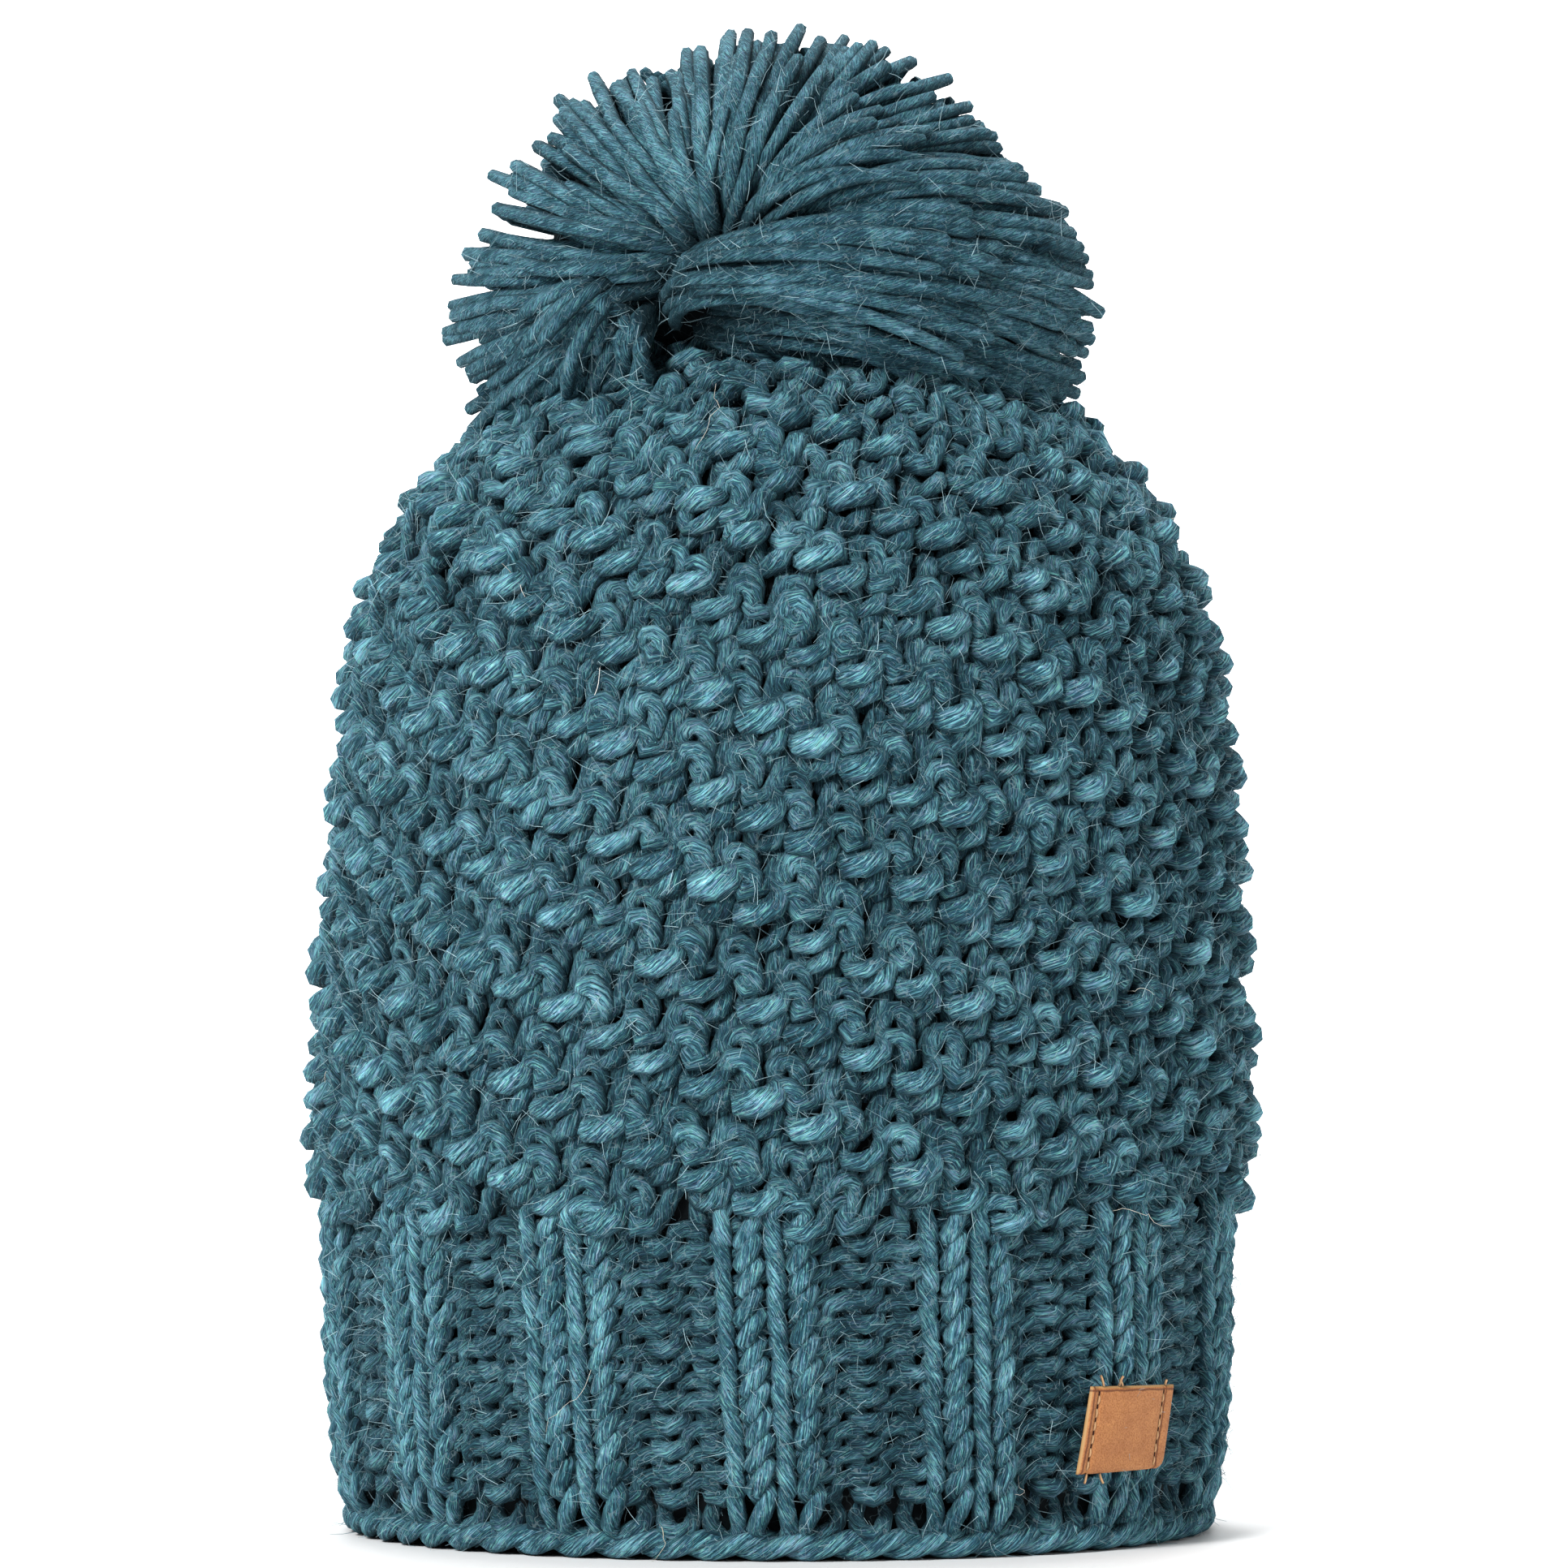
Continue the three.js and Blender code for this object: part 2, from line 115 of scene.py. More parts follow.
def smooth_outline(rows):
    """A centripetal curve through the rows, as many short steps."""
    knots = [np.array(row, float) for row in rows]
    knots = [2 * knots[0] - knots[1], *knots, 2 * knots[-1] - knots[-2]]
    points = []
    for a, b, c, d in zip(knots, knots[1:], knots[2:], knots[3:]):
        before, span, after = (np.linalg.norm(q - p) ** 0.5 for p, q in ((a, b), (b, c), (c, d)))
        leave = ((b - a) / before - (c - a) / (before + span) + (c - b) / span) * span
        arrive = ((c - b) / span - (d - b) / (span + after) + (d - c) / after) * span
        for s in np.arange(STEPS_PER_SPAN) / STEPS_PER_SPAN:
            points.append(b + leave * s + (3 * (c - b) - 2 * leave - arrive) * s**2
                          + (2 * (b - c) + leave + arrive) * s**3)
    return np.array([*points, knots[-2]]) * MM


outline = smooth_outline(HAT_OUTLINE)
outline[:, 1] = np.maximum(outline[:, 1], 0)
steps = np.hypot(np.diff(outline[:, 0]), np.diff(outline[:, 1]))
outline_along = np.concatenate([[0], np.cumsum(steps)])
outline_slope = np.gradient(outline[:, :2], outline_along, axis=0)
outline_slope /= np.linalg.norm(outline_slope, axis=1)[:, None]


def along_at(height):
    """How far along the outline a height lies, from the hem."""
    return float(np.interp(height, outline[:, 0], outline_along))


def radius_at(along):
    return np.interp(along, outline_along, outline[:, 1])


def hat_point(along, turn, rise):
    """Points on the hat: along the outline, turned from the front towards the right, and off the surface."""
    height, radius, lean = (np.interp(along, outline_along, outline[:, i]) for i in range(3))
    up, out = (np.interp(along, outline_along, outline_slope[:, i]) for i in range(2))
    reach = np.maximum(radius + rise * up, 0)
    return np.stack([lean + reach * np.sin(turn), -reach * np.cos(turn), height - rise * out], axis=-1)


print("outline in mm:", round(outline_along[-1] / MM, 1))

# %% [markdown]
# The knitter's chart gives the size of a stitch and which stitches are knit and which are purl. The band is a
# rib of two knit and two purl stitches. On the body the same four stitches move one place to the side in
# every round, which makes ridges that wind round the hat. Towards the top a round has fewer stitches.

# %% Write the chart
STITCHES_ROUND = 56
REPEAT = 4
BAND_ROWS, BODY_ROWS, CROWN_ROWS = 12, 26, 20
EDGE_TOP, BAND_TOP, BODY_TOP = 6.8 * MM, 66 * MM, 188 * MM
CROWN_ROW_HEIGHT = 4.6 * MM
STITCH_WIDTH = TURN * 92.5 * MM / STITCHES_ROUND
CROWN_STITCH_WIDTH = STITCH_WIDTH * 0.98
FEWEST_STITCHES = 8
STITCH_TURN = TURN / STITCHES_ROUND
RIB_FRONT, RIB_LEAN = math.radians(-1.4), math.radians(2.0)
RIB_MIDDLE, RIB_SPAN = 36.4 * MM, 59.2 * MM

row_starts = np.concatenate([
    np.linspace(along_at(EDGE_TOP), along_at(BAND_TOP), BAND_ROWS, endpoint=False),
    np.linspace(along_at(BAND_TOP), along_at(BODY_TOP), BODY_ROWS, endpoint=False),
    along_at(BODY_TOP) + np.arange(CROWN_ROWS + 3) * CROWN_ROW_HEIGHT,
])


def row_along(row):
    """How far along the outline a row lies. Parts of a row count too, because rows climb as they go round."""
    return np.interp(row, np.arange(len(row_starts)), row_starts)


def rib_turn(along):
    """How far round the middle rib stands: it leans a little in the band and stays put above it."""
    height = np.interp(along, outline_along, outline[:, 0])
    return RIB_FRONT - RIB_LEAN * (np.minimum(height, BAND_TOP) - RIB_MIDDLE) / RIB_SPAN


def stitches_in(row):
    """The number of stitches in a row: a stitch stays as wide where the crown narrows."""
    if row < BAND_ROWS + BODY_ROWS:
        return STITCHES_ROUND
    return max(FEWEST_STITCHES, round(TURN * radius_at(row_along(row + 0.5)) / CROWN_STITCH_WIDTH))


def is_knit(row, column):
    """Whether a stitch is knit. The column counts places of the band, also where stitches are fewer."""
    climb = np.maximum(row - BAND_ROWS + 1, 0)
    return np.mod(np.floor(column) + climb, REPEAT) < 2


counts = [stitches_in(row) for row in range(BAND_ROWS + BODY_ROWS + CROWN_ROWS)]
print("stitches:", sum(counts), "rounds:", len(counts), "last round:", counts[-1])

# %% [markdown]
# One stitch is a loop: the yarn rises on the left, turns over at the head and comes down on the right. Its
# foot lies behind the loop below when it is knit, and before it when it is purl, so the yarn weaves in and
# out. Sine waves give that path. A table of numbers for the band and one for the body make it look made by
# hand: legs lean because the yarn is twisted, purl feet are fat slanting bumps, and no two loops are alike.

# %% Work out the path of the yarn
SAMPLES = 12
YARN_RADIUS = 2.15 * MM
LOOP_HEIGHT = 4.7 * MM
WEAVE_DEPTH = 1.5 * MM
YARN_LAYER = -3.3 * MM
TUCK_DOWN, TUCK_IN = 1.6 * MM, 1.8 * MM
CROSS_WANDER, CLIMB_WANDER, WEAVE_WANDER, TONE_WANDER = 0.032, 0.34 * MM, 0.34 * MM, 0.22
EVEN_WIDTH = 0.1
HAND = {  # how stitches are made in the band, and on the body and the crown
    "relief": (1.4 * MM, -2.7 * MM),  # how far knit stitches stand out, and the shape of the ribs
    "sharpness": (1.6, 1.3),
    "limits": ((-1, 1), (-0.7, 0.9)),
    "neck": (0.18, 0.13),  # how far a loop's turns reach to the sides, and how many times that
    "foot_neck": (1, 1.6),
    "head_neck": (1, 0.75),
    "knit_neck": (1, 0.2),
    "lean": (0.10, 0.22),  # how legs and bumps slant
    "leg_slant": (0.14, 0),
    "leg_depth": (0.5, 0),
    "bump_slant": (0, 1.3 * MM),
    "foot_out": (1.25, 1.65),  # how far the turns of a purl loop come forward
    "head_out": (0.8, 0.25),
    "yarn": (0.91, 1),  # thickness, and how it changes
    "swell": (0.05, 0.085),
    "fat": (0.08, 0.24),
    "step": (5.6 * MM, 8.8 * MM),  # from the deepest to the highest yarn
    "loose": (0.8, 1.5),  # how much chance has a say
}


def hand_for(row):
    return {name: values[row >= BAND_ROWS] for name, values in HAND.items()}


def relief_at(row, column):
    """How far the ribs stand out: knit stitches in the band, purl stitches on the body."""
    hand = hand_for(row)
    climb = max(row - BAND_ROWS + 1, 0)
    wave = hand["sharpness"] * np.cos(TURN * (column + climb - 1) / REPEAT)
    return hand["relief"] * np.clip(wave, *hand["limits"])


def yarn_path(first_row, last_row, seed):
    """The yarn of some rows: one long path, and each point's thickness, how far out it lies and its tone."""
    chance = np.random.default_rng(seed)
    phase = np.arange(SAMPLES) * TURN / SAMPLES
    toward_head = (1 - np.cos(phase)) / 2
    near_foot = np.clip(np.cos(phase), 0, 1) ** 2
    right_leg = np.where(phase > math.pi, -np.cos(phase) * np.abs(np.sin(phase)), 0)
    path, thick, lift, tone = [], [], [], []
    foot = chance.normal(0, 1, 3)
    for row in range(first_row, last_row):
        count = counts[row]
        hand = hand_for(row)
        wide = STITCHES_ROUND / count
        first_feet = (1 + np.cos(phase)) / 2 if row == 0 else 0
        for place in range(count):
            share = place / count
            column = (share - 0.5) * STITCHES_ROUND
            own, above, left, right = (
                1.0 if is_knit(row + up, column + wide * beside) else -1.0
                for up, beside in ((0, 0.5), (1, 0.5), (0, -0.5), (0, 1.5)))
            head, next_foot = chance.normal(0, 1, 3), chance.normal(0, 1, 3)
            foot_now = np.where(phase[:, None] < math.pi, foot, next_foot)
            wander = head * toward_head[:, None] + foot_now * (1 - toward_head[:, None])
            wander = hand["loose"] * wander
            foot = next_foot
            turns = np.where(toward_head < 0.5, hand["foot_neck"], hand["head_neck"])
            neck = hand["neck"] * (turns if own < 0 else hand["knit_neck"])
            across = phase / TURN + neck * np.sin(2 * phase) + CROSS_WANDER * wander[:, 0]
            across += hand["leg_slant"] * right_leg * (own > 0)
            tuck = first_feet * (own > 0)
            climb = -LOOP_HEIGHT * np.cos(phase) + CLIMB_WANDER * wander[:, 1] - TUCK_DOWN * tuck
            climb += hand["bump_slant"] * np.sin(phase)
            side = own + (np.where(phase < math.pi, left, right) - own) / 2 * near_foot
            forward = np.where(side < 0, hand["foot_out"], 1)
            low = -side * WEAVE_DEPTH * np.cos(2 * phase) * forward
            high = WEAVE_DEPTH * ((own - above) / 2 + (own + above) / 2 * np.cos(2 * phase - math.pi))
            high *= np.where(high > 0, hand["head_out"], 1)
            weave = np.where(toward_head < 0.5, low, high) + WEAVE_WANDER * wander[:, 2]
            if own > 0:
                weave *= np.where(phase > math.pi, 1 + hand["leg_depth"], 1)
            gap = row_along(0.5 + share) - row_along(0.5)
            reach_down = gap * min(1, (count - place) / 2) * first_feet
            along = row_along(row + 0.5 + share) + climb - reach_down
            place_column = column + across * wide
            lean = hand["lean"] * climb / radius_at(along)
            turn = rib_turn(along) + (place_column - 1) * STITCH_TURN + lean
            relief = relief_at(row, place_column)
            path.append(hat_point(along, turn, YARN_LAYER + relief + weave - TUCK_IN * tuck))
            fat = hand["fat"] * (near_foot * (side < 0) - EVEN_WIDTH)
            thick.append(YARN_RADIUS * hand["yarn"] * (1 + hand["swell"] * wander[:, 1] + fat))
            lift.append(np.clip(0.5 + (relief + weave) / hand["step"], 0, 1))
            tone.append(np.clip(0.5 + TONE_WANDER * wander[:, 0], 0, 1))
    notes = {"yarn_radius": thick, "yarn_lift": lift, "yarn_tone": tone}
    return np.concatenate(path), {name: np.concatenate(values) for name, values in notes.items()}


test_path, _ = yarn_path(0, 1, 0)
test_length = np.linalg.norm(np.diff(test_path, axis=0), axis=1).sum()
print("yarn in one stitch, mm:", round(test_length / MM / STITCHES_ROUND, 1))

# %% [markdown]
# A node tree turns such a path into wool. It makes the path a curve and sweeps a ring of a few sides along
# it, as thick as each point asks for. It also writes two notes on the surface: how far along the yarn a point
# is, and on which side of it. The material later draws the fibres from those notes, so that they follow the
# yarn round every bend. One small helper adds nodes, and another runs a tree and keeps its result as a mesh.

# %% Build the yarn tree
def socket_of(sockets, key):
    """A socket by its identifier, its name or its number."""
    named = [socket for socket in sockets if socket.identifier == key]
    return named[0] if named else sockets[key]


def add(tree, kind, inputs=None, **settings):
    """One more node in a tree, with its settings and with its inputs set or linked."""
    node = tree.nodes.new(kind)
    for key, value in settings.items():
        setattr(node, key, value)
    for key, value in (inputs or {}).items():
        socket = socket_of(node.inputs, key)
        if isinstance(value, bpy.types.NodeSocket):
            tree.links.new(value, socket)
        else:
            socket.default_value = value
    return node


def calc(tree, operation, *values):
    """One step of arithmetic in a tree."""
    return add(tree, "ShaderNodeMath", dict(enumerate(values)), operation=operation).outputs[0]


def new_tree(name, sockets):
    """A tree for a modifier, with named inputs, and its group input and output."""
    tree = bpy.data.node_groups.new(name, "GeometryNodeTree")
    tree.is_modifier = True
    tree.interface.new_socket("Geometry", in_out="INPUT", socket_type="NodeSocketGeometry")
    for socket_name, kind in sockets.items():
        tree.interface.new_socket(socket_name, in_out="INPUT", socket_type="NodeSocket" + kind)
    tree.interface.new_socket("Geometry", in_out="OUTPUT", socket_type="NodeSocketGeometry")
    return tree, tree.nodes.new("NodeGroupInput").outputs, tree.nodes.new("NodeGroupOutput").inputs


def noted(tree, geometry, name, value, kind="FLOAT"):
    """Writes a value on every point under a name."""
    return add(tree, "GeometryNodeStoreNamedAttribute", {"Geometry": geometry, "Name": name, "Value": value},
               data_type=kind, domain="POINT").outputs["Geometry"]


def note_of(tree, name):
    """Reads a number that was noted on every point."""
    return add(tree, "GeometryNodeInputNamedAttribute", {"Name": name}, data_type="FLOAT").outputs[0]


def swept(tree, curve, ring, scale):
    """A closed tube along a curve."""
    inputs = {"Curve": curve, "Profile Curve": ring, "Scale": scale, "Fill Caps": True}
    return add(tree, "GeometryNodeCurveToMesh", inputs).outputs["Mesh"]


def ring_of(tree, sides):
    inputs = {"Resolution": sides, "Radius": 1.0}
    return add(tree, "GeometryNodeCurvePrimitiveCircle", inputs).outputs["Curve"]


def finished(tree, mesh, material, outlet):
    """The end of every tree: smooth shading, real geometry and its material."""
    smooth = add(tree, "GeometryNodeSetShadeSmooth", {"Geometry": mesh}).outputs["Geometry"]
    real = add(tree, "GeometryNodeRealizeInstances", {"Geometry": smooth}).outputs["Geometry"]
    made = add(tree, "GeometryNodeSetMaterial", {"Geometry": real, "Material": material})
    tree.links.new(made.outputs["Geometry"], outlet["Geometry"])


yarn_tree, given, result = new_tree("Spun yarn", {
    "Sides": "Int", "Unevenness": "Float", "Seed": "Float", "Wool": "Material"})
yarn_curve = add(yarn_tree, "GeometryNodeMeshToCurve", {"Mesh": given["Geometry"]}).outputs["Curve"]
yarn_noise = add(yarn_tree, "ShaderNodeTexNoise", {"Scale": 160.0, "Detail": 1.0, "W": given["Seed"]},
                 noise_dimensions="4D").outputs[0]
centred = calc(yarn_tree, "SUBTRACT", yarn_noise, 0.5)
uneven = calc(yarn_tree, "MULTIPLY_ADD", centred, given["Unevenness"], 1.0)
thickness = calc(yarn_tree, "MULTIPLY", uneven, note_of(yarn_tree, "yarn_radius"))
length = add(yarn_tree, "GeometryNodeSplineParameter").outputs["Length"]
yarn_curve = noted(yarn_tree, yarn_curve, "yarn_along", length)
ring_place = add(yarn_tree, "GeometryNodeInputPosition").outputs["Position"]
ring = noted(yarn_tree, ring_of(yarn_tree, given["Sides"]), "yarn_round", ring_place, "FLOAT_VECTOR")
finished(yarn_tree, swept(yarn_tree, yarn_curve, ring, thickness), given["Wool"], result)


def path_mesh(name, paths, notes):
    """Paths as a mesh of loose edges, with notes on each point."""
    mesh = bpy.data.meshes.new(name)
    edges, start = [], 0
    for path in paths:
        edges += [(start + i, start + i + 1) for i in range(len(path) - 1)]
        start += len(path)
    mesh.from_pydata(np.concatenate(paths).tolist(), edges, [])
    for note, values in notes.items():
        mesh.attributes.new(note, "FLOAT", "POINT").data.foreach_set("value", np.concatenate(values))
    return mesh


def triangles(piece):
    return sum(len(polygon.vertices) - 2 for polygon in piece.data.polygons)


def run_tree(tree, name, mesh, values):
    """Runs a tree on a mesh and keeps what it makes as a plain mesh."""
    piece = new_piece(name, mesh)
    modifier = piece.modifiers.new(tree.name, "NODES")
    modifier.node_group = tree
    for item in tree.interface.items_tree:
        if item.item_type == "SOCKET" and item.in_out == "INPUT" and item.name in values:
            modifier[item.identifier] = values[item.name]
    depsgraph = bpy.context.evaluated_depsgraph_get()
    made = bpy.data.meshes.new_from_object(
        piece.evaluated_get(depsgraph), preserve_all_data_layers=True, depsgraph=depsgraph)
    piece.modifiers.clear()
    piece.data = made
    made.name = name
    print(name, "triangles:", triangles(piece))
    return piece


def note_facing(piece, outward):
    """Notes on each point how much it faces out of the object, from 0 to 1: the material paints shade on its
    sides.
    """
    places = np.empty(len(piece.data.vertices) * 3)
    piece.data.vertices.foreach_get("co", places)
    normals = np.empty(len(places))
    piece.data.vertices.foreach_get("normal", normals)
    out = outward(places.reshape(-1, 3))
    out /= np.linalg.norm(out, axis=1)[:, None]
    facing = np.clip((normals.reshape(-1, 3) * out).sum(axis=1), 0, 1)
    piece.data.attributes.new("wool_facing", "FLOAT", "POINT").data.foreach_set("value", facing)


CROWN_FOOT = 165 * MM


def out_of_hat(places):
    """The way out of the hat: level at the sides, and turning upwards on the crown."""
    middle = np.zeros_like(places)
    middle[:, 2] = np.minimum(places[:, 2], CROWN_FOOT)
    return places - middle


def seat(piece, slot, *nodes):
    """Ties a finished piece to the frame: its body and the solids that it stands for. Its finish, the slot,
    is not used.
    """
    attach(piece, "root")
    if nodes:
        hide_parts(*nodes)


# %% [markdown]
# Wool is thousands of fine fibres, dyed in slightly different blues and lightly twisted. Close up, that shows
# as long streaks that wind round the yarn. A shared group of nodes draws them. It turns the yarn's own
# coordinates by the twist, stretches a noise along it, paints shade on what lies deep or faces aside, and
# gives back a colour, a height for the bump and a roughness.

# %% Mix the wool
def shader_group(name, inputs):
    """A group of shader nodes with named inputs, which gives a colour, a height and a roughness."""
    group = bpy.data.node_groups.new(name, "ShaderNodeTree")
    for socket_name, value in inputs.items():
        kind = "NodeSocketColor" if isinstance(value, tuple) else "NodeSocketFloat"
        group.interface.new_socket(socket_name, in_out="INPUT", socket_type=kind).default_value = value
    for socket_name, kind in (("Color", "Color"), ("Height", "Float"), ("Roughness", "Float")):
        group.interface.new_socket(socket_name, in_out="OUTPUT", socket_type="NodeSocket" + kind)
    return group, group.nodes.new("NodeGroupInput").outputs, group.nodes.new("NodeGroupOutput").inputs


def noise(tree, place, scale, detail, **more):
    """The grey value of a noise texture."""
    inputs = {"Vector": place, "Scale": scale, "Detail": detail, **more}
    return add(tree, "ShaderNodeTexNoise", inputs).outputs[0]


def noted_on(tree, name, output="Fac"):
    """What was noted on the surface, as a shader reads it."""
    return add(tree, "ShaderNodeAttribute", attribute_name=name).outputs[output]


def blend_of(group, share, low, high, blend="MIX"):
    """A colour between two others."""
    mix = add(group, "ShaderNodeMix", {"Factor_Float": share, "A_Color": low, "B_Color": high},
              data_type="RGBA", blend_type=blend)
    return socket_of(mix.outputs, "Result_Color")


def tinted(group, share, colour, tint):
    """A colour multiplied by a tint, as far as the share says."""
    return blend_of(group, share, colour, tint, "MULTIPLY")


def between(group, value, low, high):
    """A value stretched so that low becomes 0 and high becomes 1."""
    inputs = {"Value": value, "From Min": low, "From Max": high, "To Min": 0.0, "To Max": 1.0}
    return add(group, "ShaderNodeMapRange", inputs).outputs["Result"]


DEEP_BLUE = (0.004, 0.016, 0.024, 1)
MID_BLUE = (0.031, 0.127, 0.185, 1)
PALE_BLUE = (0.300, 0.745, 0.905, 1)
LILAC_TINT = (1.55, 0.90, 1.08, 1)
GREEN_TINT = (1.05, 1.16, 0.80, 1)
PAINTED_HOLLOW_SHADE = (0.24, 0.26, 0.28, 1)
PAINTED_SIDE_SHADE = (0.20, 0.22, 0.24, 1)
HAIR_GREY = (0.23, 0.33, 0.36, 1)
TWIST, HAIRINESS = 280.0, 0.45

fibres, given, result = shader_group("Wool fibres", {
    "Deep": DEEP_BLUE, "Mid": MID_BLUE, "Pale": PALE_BLUE, "Twist": TWIST, "Streaks": 5.5,
    "Streak Length": 150.0, "Hairiness": HAIRINESS})
yarn_along = noted_on(fibres, "yarn_along")
angle = calc(fibres, "MULTIPLY", yarn_along, given["Twist"])
turned = add(fibres, "ShaderNodeVectorRotate",
             {"Vector": noted_on(fibres, "yarn_round", "Vector"), "Angle": angle}, rotation_type="Z_AXIS")
rings = {0: turned.outputs[0], "Scale": given["Streaks"]}
rings = add(fibres, "ShaderNodeVectorMath", rings, operation="SCALE").outputs[0]
reach = calc(fibres, "MULTIPLY", yarn_along, given["Streak Length"])
down_yarn = add(fibres, "ShaderNodeCombineXYZ", {"Z": reach}).outputs[0]
yarn_place = add(fibres, "ShaderNodeVectorMath", {0: rings, 1: down_yarn}, operation="ADD").outputs[0]
hat_place = add(fibres, "ShaderNodeTexCoord").outputs["Object"]
streak = noise(fibres, yarn_place, 1.0, 3.0, Roughness=0.65)
fine = noise(fibres, yarn_place, 2.7, 2.0)
stray = noise(fibres, yarn_place, 1.7, 1.0)
clump = noise(fibres, hat_place, 170.0, 2.0)
strands = calc(fibres, "MULTIPLY_ADD", fine, 0.4, calc(fibres, "MULTIPLY", streak, 0.6))
tone = calc(fibres, "MULTIPLY_ADD", clump, 0.24, strands)
tone = calc(fibres, "MULTIPLY_ADD", noted_on(fibres, "yarn_tone"), 0.06, tone)
dark_to_mid = blend_of(fibres, between(fibres, tone, 0.50, 0.66), given["Deep"], given["Mid"])
body_colour = blend_of(fibres, between(fibres, tone, 0.64, 0.82), dark_to_mid, given["Pale"])
lilac = tinted(fibres, between(fibres, stray, 0.50, 0.64), body_colour, LILAC_TINT)
heather = tinted(fibres, between(fibres, fine, 0.52, 0.66), lilac, GREEN_TINT)
# Painted shade: the wool darkens where the yarn lies deep among the loops, as the note yarn_lift says.
hollow_shaded = tinted(fibres, between(fibres, noted_on(fibres, "yarn_lift"), 0.95, 0.22), heather, PAINTED_HOLLOW_SHADE)
# Painted shade: the wool darkens where its surface faces aside from the way out of the hat or the pompom.
sides = tinted(fibres, between(fibres, noted_on(fibres, "wool_facing"), 0.86, 0.12), hollow_shaded, PAINTED_SIDE_SHADE)
crossing = calc(fibres, "SUBTRACT", noise(fibres, hat_place, 330.0, 1.0), 0.5)
crossing = between(fibres, calc(fibres, "ABSOLUTE", crossing), 0.012, 0.004)
haired = blend_of(fibres, calc(fibres, "MULTIPLY", crossing, given["Hairiness"]), sides, HAIR_GREY)
fibres.links.new(haired, result["Color"])
fibres.links.new(strands, result["Height"])
fibres.links.new(between(fibres, strands, -0.6, 0.7), result["Roughness"])


def new_material(name, constants):
    """A material with its tree and its shader, and with constants on the shader's own sockets."""
    material = bpy.data.materials.new(name)
    material.use_nodes = True
    shader = material.node_tree.nodes["Principled BSDF"]
    for key, value in constants.items():
        shader.inputs[key].default_value = value
    return material, material.node_tree, shader


def dress(tree, shader, look, values, bump, depth):
    """Places a shared look in a material and links its colour, its roughness and its bump."""
    group = add(tree, "ShaderNodeGroup", values, node_tree=look).outputs
    relief = add(tree, "ShaderNodeBump", {"Strength": bump, "Distance": depth, "Height": group["Height"]})
    tree.links.new(group["Color"], shader.inputs["Base Color"])
    tree.links.new(group["Roughness"], shader.inputs["Roughness"])
    tree.links.new(relief.outputs["Normal"], shader.inputs["Normal"])


def wool(name, deep=DEEP_BLUE, mid=MID_BLUE, pale=PALE_BLUE, bump=1.0, twist=TWIST, hairiness=HAIRINESS):
    """A wool material: the shared fibres with colours and a bump of its own."""
    material, tree, shader = new_material(name, {
        "Specular IOR Level": 0.12, "Sheen Weight": 0.14, "Sheen Roughness": 0.4,
        "Sheen Tint": (0.28, 0.72, 0.90, 1),
    })
    values = {"Deep": deep, "Mid": mid, "Pale": pale, "Twist": twist, "Hairiness": hairiness}
    dress(tree, shader, fibres, values, bump, 1.2 * MM)
    return material


knit_wool = wool("knit_wool")
print("materials:", [m.name for m in bpy.data.materials if m.users])

# %% [markdown]
# Now the hat is knitted. Each piece is one run of the yarn tree over some rows of the chart, and stands for
# one of the solids, or for half of it where the whole would be too heavy a mesh. The rows climb as they go
# round, as real knitting in the round does, so the yarn has no seam: each piece only ends where the next one
# begins.

# %% Knit the band, the body and the crown
YARN_SIDES = 7
FIRST_SEED = 11
first_body, middle_body = BAND_ROWS, BAND_ROWS + BODY_ROWS // 2
first_crown = BAND_ROWS + BODY_ROWS
KNITTING = [  # piece, first row, row after the last one, solid
    ("band_stitches", 0, first_body, "ribbed_band"),
    ("body_stitches_lower", first_body, middle_body, "body"),
    ("body_stitches_upper", middle_body, first_crown, "body"),
    ("crown_stitches", first_crown, first_crown + CROWN_ROWS, "crown"),
]
knitted = []
for seed, (name, first, after, node) in enumerate(KNITTING):
    path, notes = yarn_path(first, after, seed + FIRST_SEED)
    mesh = path_mesh(name, [path], {key: [values] for key, values in notes.items()})
    piece = run_tree(yarn_tree, name, mesh, {
        "Sides": YARN_SIDES, "Unevenness": 0.3, "Seed": float(seed), "Wool": knit_wool})
    note_facing(piece, out_of_hat)
    seat(piece, "wool", node)
    knitted.append(piece)

# %% [markdown]
# The lower edge is where the knitter cast on. It looks like a rope laid along the hem: two yarns that wind
# round each other, with long slanting strands. Two helices on the hat's surface give it, and they are kept
# just high enough for the hat to stand on them.

# %% Cast on the edge
EDGE_WINDS, EDGE_SAMPLES = 28, 12
EDGE_HIGH, EDGE_OUT = 1.2 * MM, 1.5 * MM
EDGE_RADIUS = 2.0 * MM
EDGE_LOWERED = 0.52 * MM
# The rope counts as lying almost fully out, so it gets only a little painted hollow shade.
EDGE_LIFT = 0.9


def even_notes(paths, radius, lift, tone):
    """The same thickness, lift and tone on every point of some paths."""
    values = {"yarn_radius": radius, "yarn_lift": lift, "yarn_tone": tone}
    return {note: [np.full(len(path), value) for path in paths] for note, value in values.items()}


